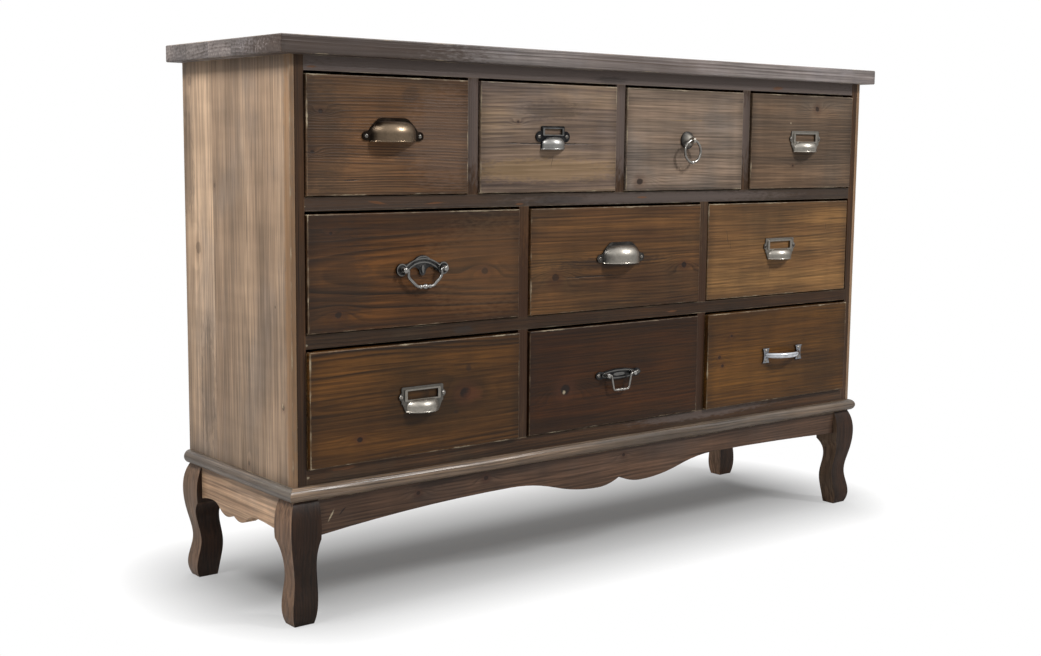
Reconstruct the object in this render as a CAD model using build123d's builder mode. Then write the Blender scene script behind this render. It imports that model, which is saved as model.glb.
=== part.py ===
"""Seed storage cabinet: a long low chest of ten drawers on a cabriole-legged stand.

Millimetres, +Z up. The origin is on the floor under the middle of the whole chest, pulls
included. The drawer fronts face -Y and +X runs to the right as the chest is looked at.
The carcass stands on a bullnose frame, and the frame on four legs with shaped aprons.
"""
import os

from build123d import *

os.makedirs("parts", exist_ok=True)

# ---- driving dimensions: drawer fronts and what lies between them ----
FRONT_HEIGHT = 158.5
FRONT_THICKNESS = 20.0
FRONT_ARRIS = 1.6
FRONT_SPACING = 22.0          # from one front to the next, sideways
ROW_SPACING = 24.0            # from one row of fronts to the next
END_MARGIN = 23.0             # from the case's side to the first front
TOP_MARGIN = 24.0             # from the case's top to the first row
BOTTOM_MARGIN = 22.5          # from the last row to the case's bottom
GAP_ABOVE = 4.0               # daylight above, beside and below each front
GAP_BESIDE = 2.0
GAP_BELOW = 1.5
COLUMNS = (4, 3, 3)           # drawers in each row, from the top

# ---- carcass ----
TOP_WIDTH = 1200.0
TOP_THICKNESS = 24.0
TOP_SIDE_OVERHANG = 21.0
TOP_FRONT_OVERHANG = 17.0
TOP_BACK_OVERHANG = 10.0
TOP_ARRIS = 2.0
TOP_BOARDS = 5
CASE_DEPTH = 308.0
SIDE_THICKNESS = 15.0
SIDE_SEAM = 218.0             # the side's front board is this wide
SIDE_EDGE_SHOWN = 7.0         # strip of the side panel left beside the stile
STILE_CHAMFER = 1.2
RAIL_DEPTH = 20.0
BACK_THICKNESS = 8.0
BACK_BOARDS = 7
BACK_BOARD_GAP = 0.6
HOUSING_DEPTH = 5.0           # the shelves are let into the sides by this much
KICKER_LAP = 14.0
GUIDE_HEIGHT = 40.0

# ---- drawer boxes ----
BOX_SIDE = 12.0
BOX_BACK = 12.0
BOX_BOTTOM = 5.0
BOX_BOTTOM_RAISE = 8.0
BOX_GROOVE = 6.0
BOX_DROP = 2.0                # the box stands this much below the front's top edge
BOX_REAR_ROOM = 12.0
RUNNING_CLEARANCE = 0.3

# ---- stand ----
LEG_HEIGHT = 172.0
LEG_POST = 38.0
LEG_POST_DROP = 54.0          # the square post reaches this far below the moulding
MOULDING_HEIGHT = 20.0
MOULDING_WIDTH = 45.0         # the part of the frame board that lies under the case
APRON_THICKNESS = 18.0
BRACE_LEG = 42.0
BRACE_HEIGHT = 25.0

# ---- scalloped edges of the aprons: levels above the floor and distances along the board ----
FRONT_ARCH_LEVEL = 139.5
FRONT_LEFT_LEVEL = 121.0
FRONT_RIGHT_LEVEL = 133.0
FRONT_LOBE_LEVEL = 114.5
FRONT_CUSP_LEVEL = 126.0
FRONT_CUSP_SHIFT = 12.0       # the cusp was cut this far to the right of the middle
FRONT_LOBE_SPREAD = 46.0
FRONT_OGEE_LENGTH = 175.0
SIDE_ARCH_LEVEL = 129.0
SIDE_END_LEVEL = 124.0
SIDE_LOBE_LEVEL = 113.0
SIDE_CUSP_LEVEL = 119.0
SIDE_CUSP_SHIFT = 18.0        # towards the back
SIDE_LOBE_SPREAD = 20.0
SIDE_OGEE_LENGTH = 44.0

# ---- derived levels and planes ----
CASE_WIDTH = TOP_WIDTH - 2 * TOP_SIDE_OVERHANG
TOP_DEPTH = CASE_DEPTH + TOP_FRONT_OVERHANG + TOP_BACK_OVERHANG
CASE_BOTTOM = LEG_HEIGHT + MOULDING_HEIGHT
CASE_HEIGHT = TOP_MARGIN + 3 * FRONT_HEIGHT + 2 * ROW_SPACING + BOTTOM_MARGIN
CASE_TOP = CASE_BOTTOM + CASE_HEIGHT
HALF_CASE = CASE_WIDTH / 2
BOTTOM_RAIL_HEIGHT = BOTTOM_MARGIN - GAP_BELOW
MUNTIN_WIDTH = FRONT_SPACING - 2 * GAP_BESIDE
STILE_INNER = END_MARGIN - GAP_BESIDE

# ---- pulls: sizes across, up and out from the drawer front ----
PLATE_THICKNESS = 2.0
RELIEF = 1.2                  # how far raised lines stand out from a cast plate
SHELL_THICKNESS = 2.0
CUP_REACH = 24.0
CUP_HEIGHT = 28.0
CUP_RIM_DROP = 8.0            # the rim hangs this far below the screws
CUP_HALF = 37.5
CUP_EAR_REACH = 49.5
CUP_EAR_RADIUS = 6.2
CUP_FLANGE = 4.5
CARD_WIDTH = 71.0
CARD_TOP = 18.5
CARD_WINDOW = (52.0, 0.5, 13.0)          # width, lower and upper level
CARD_EARS = (79.0, 11.0, 5.0)            # overall width, height, level
CARD_CUP = (28.5, -17.5, 0.0)            # half width, rim and roof levels
CARD_CUP_REACH = 18.0
SMALL_WIDTH = 44.0
SMALL_TOP = 18.0
SMALL_WINDOW = (34.0, 5.5, 14.0)
SMALL_EARS = (65.0, 16.0, 2.5)
SMALL_CUP = (22.5, -16.5, 1.5)
SMALL_CUP_REACH = 15.0
RING_PIVOT_REACH = 14.0
RING_RADIUS = 17.5
RING_WIRE = 2.0
BAIL_PIVOT_REACH = 9.0
BAIL_WIRE = 2.2
SWAN_WIRE = 1.7
PIVOT_CLEARANCE = 0.35
POST_ROUNDING = 1.5
CROWN_SPACING = 68.0          # between the posts of the crowned plate and of the oval one
CROWN_POST = 3.8
SWAN_SPACING = 56.0
SWAN_POST = 3.6
BRIDGE_REACH = 25.0
BRIDGE_FOOT_HALF = 8.0
BRIDGE_FOOT_HEIGHT = 25.0
BRIDGE_FOOT_THICKNESS = 3.0
BRIDGE_SPACING = 84.0         # between the middles of the feet
BRIDGE_BAR = (3.0, 4.6)       # half thickness and half height of the bar

# one row for each drawer: how far the front stands proud of the case, the pull on it,
# and how far to the right of the front's middle that pull was screwed on
DRAWERS = (
    (4.0, "cup", 3.0),
    (4.0, "small_card", 2.0),
    (4.0, "ring", 0.0),
    (4.0, "card", 3.0),
    (4.0, "crown", 3.5),
    (4.0, "cup", 1.5),
    (0.5, "card", -3.0),
    (7.0, "card", 2.0),
    (4.0, "swan", 0.5),
    (7.0, "bridge", 5.0),
)
REACHES = {
    "cup": CUP_REACH,
    "small_card": SMALL_CUP_REACH,
    "card": CARD_CUP_REACH,
    "ring": RING_PIVOT_REACH + 2.4 * RING_WIRE,
    "crown": BAIL_PIVOT_REACH + 2 * BAIL_WIRE,
    "swan": BAIL_PIVOT_REACH + 2 * SWAN_WIRE,
    "bridge": BRIDGE_REACH,
}
FOREMOST = max(proud + REACHES[pull] for proud, pull, shift in DRAWERS)

# the case's front plane, set so that the whole chest is centred on the origin
CASE_FRONT = (FOREMOST - CASE_DEPTH - TOP_BACK_OVERHANG) / 2
CASE_BACK = CASE_FRONT + CASE_DEPTH
BACK_FACE = CASE_BACK - BACK_THICKNESS
RAIL_BACK = CASE_FRONT + RAIL_DEPTH


def save(part, label):
    """Label a finished piece and write it as its own file."""
    part.label = label
    export_step(part, f"parts/{label}.step")


def box_between(x0, x1, y0, y1, z0, z1, mode=Mode.ADD):
    """A rectangular board given by its six faces, for use inside a part block."""
    with Locations(((x0 + x1) / 2, (y0 + y1) / 2, (z0 + z1) / 2)):
        Box(x1 - x0, y1 - y0, z1 - z0, mode=mode)


def front_width(columns):
    """Width of each front in a row that holds this many drawers."""
    return (CASE_WIDTH - 2 * END_MARGIN - (columns - 1) * FRONT_SPACING) / columns


def front_centres(columns):
    """Middle of each front in a row, from left to right."""
    width = front_width(columns)
    first = -HALF_CASE + END_MARGIN + width / 2
    return [first + i * (width + FRONT_SPACING) for i in range(columns)]


def muntin_centres(columns):
    """Middle of each upright between the fronts of a row."""
    width = front_width(columns)
    return [x + (width + FRONT_SPACING) / 2 for x in front_centres(columns)[:-1]]


def row_top(row):
    """Level of the top edge of the fronts in a row, counted from 0 at the top."""
    return CASE_TOP - TOP_MARGIN - row * (FRONT_HEIGHT + ROW_SPACING)


def opening_bottom(row):
    """Level on which the drawers of a row run."""
    return row_top(row) - FRONT_HEIGHT - GAP_BELOW


def opening_top(row):
    """Underside of the rail above a row."""
    return row_top(row) + GAP_ABOVE


# ================= carcass =================

# Top: edge-glued boards with eased arrises, overhanging at front, sides and back.
with BuildPart() as top_board:
    box_between(
        -TOP_WIDTH / 2, TOP_WIDTH / 2,
        CASE_FRONT - TOP_FRONT_OVERHANG, CASE_BACK + TOP_BACK_OVERHANG,
        CASE_TOP, CASE_TOP + TOP_THICKNESS,
    )
    fillet(top_board.edges(), TOP_ARRIS)
    for i in range(1, TOP_BOARDS):
        seam = CASE_FRONT - TOP_FRONT_OVERHANG + i * TOP_DEPTH / TOP_BOARDS
        split(bisect_by=Plane.XZ.offset(-seam), keep=Keep.BOTH)
save(top_board.part, "top_board")

# Sides: two upright boards each, rebated at the front for the stile and at the back for
# the back boards, with housings for the two shelves.
for side_name, hand in (("left_side_panel", -1), ("right_side_panel", 1)):
    with BuildPart() as side_panel:
        outer = hand * HALF_CASE
        inner = outer - hand * SIDE_THICKNESS
        rebate = outer - hand * SIDE_EDGE_SHOWN
        seam = CASE_FRONT + SIDE_SEAM
        with BuildSketch(Plane.XY.offset(CASE_BOTTOM)):
            with BuildLine():
                Polyline(
                    (outer, CASE_FRONT), (rebate, CASE_FRONT), (rebate, RAIL_BACK),
                    (inner, RAIL_BACK), (inner, seam), (outer, seam), close=True,
                )
            make_face()
        extrude(amount=CASE_HEIGHT)
        with BuildSketch(Plane.XY.offset(CASE_BOTTOM)):
            with BuildLine():
                Polyline(
                    (outer, seam), (inner, seam), (inner, BACK_FACE),
                    (rebate, BACK_FACE), (rebate, CASE_BACK), (outer, CASE_BACK), close=True,
                )
            make_face()
        extrude(amount=CASE_HEIGHT)
        split(bisect_by=Plane.XZ.offset(-seam), keep=Keep.BOTH)
        for row in (0, 1):
            box_between(
                *sorted((inner, inner + hand * HOUSING_DEPTH)), RAIL_BACK, BACK_FACE,
                opening_top(row + 1), opening_bottom(row), mode=Mode.SUBTRACT,
            )
    save(side_panel.part, side_name)

# Back: upright boards side by side in the rebates of the sides.
with BuildPart() as back_panel:
    back_span = CASE_WIDTH - 2 * SIDE_EDGE_SHOWN
    pitch = back_span / BACK_BOARDS
    with Locations((0, CASE_BACK - BACK_THICKNESS / 2, CASE_BOTTOM + CASE_HEIGHT / 2)):
        with GridLocations(pitch, 0, BACK_BOARDS, 1):
            Box(pitch - BACK_BOARD_GAP, BACK_THICKNESS, CASE_HEIGHT)
save(back_panel.part, "back_panel")

# Bottom board, lipped at the front by the bottom rail.
with BuildPart() as bottom_board:
    box_between(
        -HALF_CASE + SIDE_THICKNESS, HALF_CASE - SIDE_THICKNESS, RAIL_BACK, BACK_FACE,
        CASE_BOTTOM, CASE_BOTTOM + BOTTOM_RAIL_HEIGHT,
    )
save(bottom_board.part, "bottom_board")

# Shelves between the rows, as thick as the rails that lip them, housed in the sides.
with BuildPart() as shelves:
    for row in (0, 1):
        box_between(
            -HALF_CASE + SIDE_THICKNESS - HOUSING_DEPTH,
            HALF_CASE - SIDE_THICKNESS + HOUSING_DEPTH,
            RAIL_BACK, BACK_FACE, opening_top(row + 1), opening_bottom(row),
        )
save(shelves.part, "shelves")

# Stiles: the two front posts, in the rebates of the sides, eased beside the side's edge.
with BuildPart() as stiles:
    for hand in (-1, 1):
        box_between(
            *sorted((hand * (HALF_CASE - SIDE_EDGE_SHOWN), hand * (HALF_CASE - STILE_INNER))),
            CASE_FRONT, RAIL_BACK, CASE_BOTTOM, CASE_TOP,
        )
    front_edges = stiles.edges().filter_by(Axis.Z).group_by(Axis.Y)[0].sort_by(Axis.X)
    chamfer([front_edges[0], front_edges[-1]], STILE_CHAMFER)
save(stiles.part, "stiles")

# Rails across the front, between the stiles.
RAIL_LEVELS = {
    "top_rail": (opening_top(0), CASE_TOP),
    "upper_rail": (opening_top(1), opening_bottom(0)),
    "lower_rail": (opening_top(2), opening_bottom(1)),
    "bottom_rail": (CASE_BOTTOM, opening_bottom(2)),
}
for rail_name, (z_low, z_high) in RAIL_LEVELS.items():
    with BuildPart() as rail:
        box_between(
            -HALF_CASE + STILE_INNER, HALF_CASE - STILE_INNER, CASE_FRONT, RAIL_BACK, z_low, z_high
        )
    save(rail.part, rail_name)

# Muntins: the short uprights between the fronts of each row.
with BuildPart() as muntins:
    for row, columns in enumerate(COLUMNS):
        for x in muntin_centres(columns):
            box_between(
                x - MUNTIN_WIDTH / 2, x + MUNTIN_WIDTH / 2, CASE_FRONT, RAIL_BACK,
                opening_bottom(row), opening_top(row),
            )
save(muntins.part, "muntins")

# Drawer guides: a full-height partition behind each muntin, and a low strip on each side
# panel that fills the step behind the stile.
with BuildPart() as drawer_guides:
    for row, columns in enumerate(COLUMNS):
        for x in muntin_centres(columns):
            box_between(
                x - MUNTIN_WIDTH / 2, x + MUNTIN_WIDTH / 2, RAIL_BACK, BACK_FACE,
                opening_bottom(row), opening_top(row),
            )
        for hand in (-1, 1):
            box_between(
                *sorted((hand * (HALF_CASE - SIDE_THICKNESS), hand * (HALF_CASE - STILE_INNER))),
                RAIL_BACK, BACK_FACE, opening_bottom(row), opening_bottom(row) + GUIDE_HEIGHT,
            )
save(drawer_guides.part, "drawer_guides")

# Kickers under the top: they keep the open drawers of the first row from tipping.
with BuildPart() as kickers:
    for x in muntin_centres(COLUMNS[0]):
        half = MUNTIN_WIDTH / 2 + KICKER_LAP
        box_between(x - half, x + half, RAIL_BACK, BACK_FACE, opening_top(0), CASE_TOP)
    for hand in (-1, 1):
        wall = hand * (HALF_CASE - SIDE_THICKNESS)
        lap = hand * (HALF_CASE - STILE_INNER - KICKER_LAP)
        box_between(*sorted((wall, lap)), RAIL_BACK, BACK_FACE, opening_top(0), CASE_TOP)
save(kickers.part, "kickers")


# ================= stand =================

NOSE = MOULDING_HEIGHT / 2


def bullnose(plane):
    """Section of the frame boards: a flat board with a half-round nose to the left."""
    with BuildSketch(plane) as section:
        with BuildLine():
            Line((0, 0), (MOULDING_WIDTH, 0))
            Line((MOULDING_WIDTH, 0), (MOULDING_WIDTH, MOULDING_HEIGHT))
            Line((MOULDING_WIDTH, MOULDING_HEIGHT), (0, MOULDING_HEIGHT))
            ThreePointArc((0, MOULDING_HEIGHT), (-NOSE, NOSE), (0, 0))
        make_face()
    return section.sketch


# The two mitres run at 45 degrees through the front corners of the case.
MITRE_LEFT = Plane(
    origin=(-HALF_CASE, CASE_FRONT, LEG_HEIGHT), x_dir=(1, 1, 0), z_dir=(-1, 1, 0)
)
MITRE_RIGHT = Plane(
    origin=(HALF_CASE, CASE_FRONT, LEG_HEIGHT), x_dir=(1, -1, 0), z_dir=(1, 1, 0)
)

with BuildPart() as front_moulding:
    extrude(
        bullnose(Plane(
            origin=(-HALF_CASE - NOSE, CASE_FRONT, LEG_HEIGHT), x_dir=(0, 1, 0), z_dir=(1, 0, 0)
        )),
        amount=CASE_WIDTH + 2 * NOSE,
    )
    split(bisect_by=MITRE_LEFT, keep=Keep.BOTTOM)
    split(bisect_by=MITRE_RIGHT, keep=Keep.BOTTOM)
save(front_moulding.part, "front_moulding")

for moulding_name, hand, mitre in (
    ("left_moulding", -1, MITRE_LEFT), ("right_moulding", 1, MITRE_RIGHT),
):
    with BuildPart() as side_moulding:
        # the section is drawn at the back end and pushed forward to the mitre
        extrude(
            bullnose(Plane(
                origin=(hand * HALF_CASE, CASE_BACK, LEG_HEIGHT), x_dir=(-hand, 0, 0),
                z_dir=(0, hand, 0),
            )),
            amount=-hand * (CASE_DEPTH + NOSE),
        )
        split(bisect_by=mitre, keep=Keep.TOP)
    save(side_moulding.part, moulding_name)

with BuildPart() as rear_base_rail:
    box_between(
        -HALF_CASE + MOULDING_WIDTH, HALF_CASE - MOULDING_WIDTH,
        CASE_BACK - MOULDING_WIDTH, CASE_BACK, LEG_HEIGHT, CASE_BOTTOM,
    )
save(rear_base_rail.part, "rear_base_rail")

# Legs: sawn from a square blank. Each outer face follows the same cabriole curve, given
# as the distance out from the case's face at a level; the inner faces are drawn the same
# way, one curve as the front shows it and a thinner one as the side shows it.
POST_END = LEG_HEIGHT - LEG_POST_DROP
OUTER_CURVE = (
    (0.0, LEG_HEIGHT), (7.0, 152.0), (8.6, 131.0), (4.6, 97.0), (-1.2, 57.0), (4.7, 19.0),
    (0.0, 0.0),
)
FRONT_INNER_CURVE = ((LEG_POST, POST_END), (33.5, 98.0), (36.5, 58.0), (33.0, 20.0), (30.0, 0.0))
SIDE_INNER_CURVE = ((LEG_POST, POST_END), (25.0, 96.0), (30.0, 54.0), (27.0, 20.0), (24.0, 0.0))


def leg_outline(plane, inner_curve):
    """Side view of a leg on a plane whose x runs inwards from the case's face."""
    with BuildSketch(plane) as outline:
        with BuildLine():
            outer_foot = (-OUTER_CURVE[-1][0], 0)
            Spline([(-out, z) for out, z in OUTER_CURVE])
            Line(outer_foot, inner_curve[-1])
            Spline(list(inner_curve))
            Line(inner_curve[0], (LEG_POST, LEG_HEIGHT))
            Line((LEG_POST, LEG_HEIGHT), (0, LEG_HEIGHT))
        make_face()
    return outline.sketch


LEG_BLANK = LEG_POST + 20.0
for leg_name, x_hand, y_face, y_hand in (
    ("front_left_leg", -1, CASE_FRONT, -1),
    ("front_right_leg", 1, CASE_FRONT, -1),
    ("rear_left_leg", -1, CASE_BACK, 1),
    ("rear_right_leg", 1, CASE_BACK, 1),
):
    with BuildPart() as leg:
        seen_from_front = Plane(
            origin=(x_hand * HALF_CASE, y_face - y_hand * LEG_POST / 2, 0),
            x_dir=(-x_hand, 0, 0), z_dir=(0, x_hand, 0),
        )
        seen_from_side = Plane(
            origin=(x_hand * (HALF_CASE - LEG_POST / 2), y_face, 0),
            x_dir=(0, -y_hand, 0), z_dir=(-y_hand, 0, 0),
        )
        extrude(leg_outline(seen_from_front, FRONT_INNER_CURVE), amount=LEG_BLANK, both=True)
        extrude(
            leg_outline(seen_from_side, SIDE_INNER_CURVE), amount=LEG_BLANK, both=True,
            mode=Mode.INTERSECT,
        )
    save(leg.part, leg_name)


def scalloped_apron(plane, length, centre, end_left, arch, end_right, lobe_half, lobe, notch, ogee):
    """An apron board with its top at the plane's origin level and its lower edge cut to two
    arches that fall through ogees to a pair of lobes with a cusp between them.

    Levels are heights above the floor; x is counted from the board's middle.
    """
    half = length / 2
    with BuildSketch(plane) as board:
        with BuildLine():
            for hand, end_level in ((-1, end_left), (1, end_right)):
                arch_at = (centre + hand * (lobe_half + ogee), arch)
                bend_at = (centre + hand * (lobe_half + ogee / 2), (arch + lobe) / 2)
                lobe_at = (centre + hand * lobe_half, lobe)
                inner = TangentArc(arch_at, bend_at, tangent=(-hand, 0))
                TangentArc(bend_at, lobe_at, tangent=inner % 1)
                TangentArc(lobe_at, (centre, notch), tangent=(-hand, 0))
                TangentArc(arch_at, (hand * half, end_level), tangent=(hand, 0))
                Line((hand * half, end_level), (hand * half, LEG_HEIGHT))
            Line((-half, LEG_HEIGHT), (half, LEG_HEIGHT))
        make_face()
    return board.sketch


APRON_LENGTH = CASE_WIDTH - 2 * LEG_POST
APRON_DEPTH = CASE_DEPTH - 2 * LEG_POST
with BuildPart() as front_apron:
    extrude(
        scalloped_apron(
            Plane(origin=(0, CASE_FRONT, 0), x_dir=(1, 0, 0), z_dir=(0, -1, 0)),
            APRON_LENGTH, centre=FRONT_CUSP_SHIFT, end_left=FRONT_LEFT_LEVEL,
            arch=FRONT_ARCH_LEVEL, end_right=FRONT_RIGHT_LEVEL, lobe_half=FRONT_LOBE_SPREAD,
            lobe=FRONT_LOBE_LEVEL, notch=FRONT_CUSP_LEVEL, ogee=FRONT_OGEE_LENGTH,
        ),
        amount=-APRON_THICKNESS,
    )
save(front_apron.part, "front_apron")

for apron_name, hand in (("left_apron", -1), ("right_apron", 1)):
    with BuildPart() as side_apron:
        extrude(
            scalloped_apron(
                Plane(
                    origin=(hand * HALF_CASE, (CASE_FRONT + CASE_BACK) / 2, 0),
                    x_dir=(0, hand, 0), z_dir=(hand, 0, 0),
                ),
                APRON_DEPTH, centre=hand * SIDE_CUSP_SHIFT, end_left=SIDE_END_LEVEL,
                arch=SIDE_ARCH_LEVEL, end_right=SIDE_END_LEVEL, lobe_half=SIDE_LOBE_SPREAD,
                lobe=SIDE_LOBE_LEVEL, notch=SIDE_CUSP_LEVEL, ogee=SIDE_OGEE_LENGTH,
            ),
            amount=-APRON_THICKNESS,
        )
    save(side_apron.part, apron_name)

with BuildPart() as rear_apron:
    box_between(
        -APRON_LENGTH / 2, APRON_LENGTH / 2, CASE_BACK - APRON_THICKNESS, CASE_BACK,
        FRONT_ARCH_LEVEL, LEG_HEIGHT,
    )
save(rear_apron.part, "rear_apron")

# Corner braces: glued into each inner corner of the stand, notched round the leg's post.
with BuildPart() as corner_braces:
    for x_hand in (-1, 1):
        for y_hand, y_face in ((-1, CASE_FRONT), (1, CASE_BACK)):
            reach = LEG_POST + BRACE_LEG
            corner = [
                (LEG_POST, APRON_THICKNESS), (reach, APRON_THICKNESS), (APRON_THICKNESS, reach),
                (APRON_THICKNESS, LEG_POST), (LEG_POST, LEG_POST),
            ]
            with BuildSketch(Plane.XY.offset(LEG_HEIGHT - BRACE_HEIGHT)):
                with BuildLine():
                    Polyline(
                        *[(x_hand * (HALF_CASE - u), y_face - y_hand * v) for u, v in corner],
                        close=True,
                    )
                make_face()
            extrude(amount=BRACE_HEIGHT)
save(corner_braces.part, "corner_braces")


# ================= drawers =================

def drawer_front(x, row, proud, width):
    """A front board with worn arrises, rebated at both ends for the box sides."""
    face = CASE_FRONT - proud
    rear = face + FRONT_THICKNESS
    top = row_top(row)
    low = opening_bottom(row) + RUNNING_CLEARANCE
    with BuildPart() as front:
        box_between(x - width / 2, x + width / 2, face, rear, top - FRONT_HEIGHT, top)
        fillet(front.faces().sort_by(Axis.Y)[0].edges(), FRONT_ARRIS)
        for hand in (-1, 1):
            end = x + hand * width / 2
            box_between(
                *sorted((end, end - hand * BOX_SIDE)), rear - BOX_SIDE, rear,
                top - FRONT_HEIGHT, top, mode=Mode.SUBTRACT,
            )
        box_between(
            x - width / 2 + BOX_SIDE, x + width / 2 - BOX_SIDE, rear - BOX_GROOVE, rear,
            low + BOX_BOTTOM_RAISE, low + BOX_BOTTOM_RAISE + BOX_BOTTOM, mode=Mode.SUBTRACT,
        )
    return front.part


def drawer_box(x, row, proud, width):
    """Two sides, a back and a bottom board that slides in grooves."""
    rear = CASE_FRONT - proud + FRONT_THICKNESS
    back = BACK_FACE - BOX_REAR_ROOM
    low = opening_bottom(row) + RUNNING_CLEARANCE
    high = row_top(row) - BOX_DROP
    floor = low + BOX_BOTTOM_RAISE
    inner = width / 2 - BOX_SIDE
    groove = inner + BOX_GROOVE
    with BuildPart() as sides:
        for hand in (-1, 1):
            box_between(
                *sorted((x + hand * inner, x + hand * width / 2)), rear - BOX_SIDE, back, low, high
            )
        box_between(
            x - groove, x + groove, rear - BOX_SIDE, back, floor, floor + BOX_BOTTOM,
            mode=Mode.SUBTRACT,
        )
    with BuildPart() as back_board:
        box_between(x - inner, x + inner, back - BOX_BACK, back, floor + BOX_BOTTOM, high)
    with BuildPart() as bottom:
        box_between(
            x - groove, x + groove, rear - BOX_SIDE, back, floor, floor + BOX_BOTTOM
        )
        for hand in (-1, 1):
            box_between(
                *sorted((x + hand * inner, x + hand * groove)), rear - BOX_SIDE, rear,
                floor, floor + BOX_BOTTOM, mode=Mode.SUBTRACT,
            )
        box_between(
            x - inner, x + inner, rear - BOX_SIDE, rear - BOX_GROOVE, floor, floor + BOX_BOTTOM,
            mode=Mode.SUBTRACT,
        )
    return Compound(children=[*sides.part.solids(), back_board.part, bottom.part])


def cup_body(wall, half_width, rim, roof, reach, brow):
    """A block bowed out from the front, from its rim level to its rounded roof."""
    floor = wall.from_local_coords((0, rim, 0))
    with BuildPart() as body:
        with BuildSketch(Plane(origin=floor, x_dir=(1, 0, 0), z_dir=(0, 0, 1))):
            with BuildLine():
                ThreePointArc((-half_width, 0), (0, -reach), (half_width, 0))
                Line((half_width, 0), (-half_width, 0))
            make_face()
        extrude(amount=roof - rim)
        top = body.faces().sort_by(Axis.Z)[-1]
        fillet(top.edges().sort_by(Axis.Y)[0], brow)
    return body.part


def cup_shell(wall, half_width, rim, roof, reach):
    """A bowed finger cup of even thickness, open below, its roof rounding set by its height."""
    brow = 0.6 * (roof - rim)
    inside = SHELL_THICKNESS
    with BuildPart() as shell:
        add(cup_body(wall, half_width, rim, roof, reach, brow))
        add(
            cup_body(
                wall, half_width - inside, rim, roof - inside, reach - inside, brow - inside,
            ),
            mode=Mode.SUBTRACT,
        )
    return shell.part


def cup_pull(wall):
    """Cast cup pull: a wide cup in a bell-shaped flange that runs out to an ear at each end."""
    rim = -CUP_RIM_DROP
    roof = rim + CUP_HEIGHT
    crest = roof + CUP_FLANGE
    ear = CUP_EAR_REACH - CUP_EAR_RADIUS
    cup = cup_shell(wall, CUP_HALF, rim, roof, CUP_REACH)
    with BuildPart() as pull:
        with BuildSketch(wall):
            with BuildLine():
                flat = 0.45 * CUP_HALF
                Line((-flat, crest), (flat, crest))
                for hand in (-1, 1):
                    Spline(
                        (hand * flat, crest),
                        (hand * 0.75 * CUP_HALF, 0.8 * crest),
                        (hand * 0.84 * ear, 0.45 * crest),
                        (hand * ear, CUP_EAR_RADIUS),
                        tangents=[(hand, 0), (hand, -0.05)],
                    )
                    ThreePointArc(
                        (hand * ear, CUP_EAR_RADIUS), (hand * CUP_EAR_REACH, 0),
                        (hand * ear, -CUP_EAR_RADIUS),
                    )
                Line((-ear, -CUP_EAR_RADIUS), (ear, -CUP_EAR_RADIUS))
            make_face()
        extrude(amount=PLATE_THICKNESS)
        add(cup)
    return pull.part


def card_pull(wall, width, top, window, ears, cup, reach):
    """Card-holder pull: a label frame with a raised lip, an ear at each side and a finger cup
    that opens below it. Levels are counted from the middle of the drawer front."""
    window_width, window_low, window_high = window
    ear_width, ear_height, ear_level = ears
    cup_half, rim, roof = cup
    lip = 0.4 * (top - window_high)
    window_level = (window_low + window_high) / 2
    window_height = window_high - window_low
    shell = cup_shell(wall, cup_half, rim, roof, reach)
    with BuildPart() as pull:
        with BuildSketch(wall):
            with Locations((0, (top + rim / 3) / 2)):
                RectangleRounded(width, top - rim / 3, 2.0)
            with Locations((0, ear_level)):
                SlotOverall(ear_width, ear_height)
            with BuildLine():
                Polyline(
                    (-cup_half, rim), (-width / 2 + 2, rim / 3), (width / 2 - 2, rim / 3),
                    (cup_half, rim), close=True,
                )
            make_face()
            with Locations((0, window_level)):
                Rectangle(window_width, window_height, mode=Mode.SUBTRACT)
        extrude(amount=PLATE_THICKNESS)
        with BuildSketch(wall):
            with Locations((0, window_level)):
                RectangleRounded(window_width + 4 * lip, window_height + 2 * lip, lip)
                Rectangle(window_width, window_height, mode=Mode.SUBTRACT)
        extrude(amount=PLATE_THICKNESS + RELIEF)
        add(shell)
    return pull.part


def ring_rosette(wall):
    """Round rosette drawn up to an eye, bored across for the ring."""
    base = 14.0
    neck = 4.6
    eye = 2.4 * RING_WIRE
    with BuildPart() as rosette:
        with BuildSketch(Plane(origin=wall.origin, x_dir=(1, 0, 0), z_dir=(0, 0, 1))):
            with BuildLine():
                Line((0, 0), (base, 0))
                Line((base, 0), (base, -PLATE_THICKNESS))
                ThreePointArc((base, -PLATE_THICKNESS), (9.4, -6.0), (neck, -RING_PIVOT_REACH + 4))
                Line((neck, -RING_PIVOT_REACH + 4), (0, -RING_PIVOT_REACH + 4))
                Line((0, -RING_PIVOT_REACH + 4), (0, 0))
            make_face()
        revolve(axis=Axis(wall.origin, (0, -1, 0)))
        pivot = wall.from_local_coords((0, 0, RING_PIVOT_REACH))
        across = Plane(origin=pivot, x_dir=(0, 1, 0), z_dir=(1, 0, 0))
        with BuildSketch(across):
            Circle(eye)
            with Locations((eye, 0)):
                Rectangle(2 * eye, 1.6 * eye)
        extrude(amount=1.0 * RING_WIRE, both=True)
        with BuildSketch(across):
            Circle(RING_WIRE + 2 * PIVOT_CLEARANCE)
        extrude(amount=2.0 * RING_WIRE, both=True, mode=Mode.SUBTRACT)
    return rosette.part


def bead(hang, along, level, wire, radius, half_length):
    """A barrel bead on a bar that runs sideways through a point of the hanging plane."""
    start = level + 0.8 * wire
    with BuildPart() as barrel:
        with BuildSketch(hang):
            with BuildLine():
                ThreePointArc(
                    (along - half_length, start), (along, level + radius),
                    (along + half_length, start),
                )
                Line((along + half_length, start), (along + half_length, level))
                Line((along + half_length, level), (along - half_length, level))
                Line((along - half_length, level), (along - half_length, start))
            make_face()
        revolve(axis=Axis(hang.from_local_coords((along, level, 0)), (1, 0, 0)))
    return barrel.part


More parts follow.
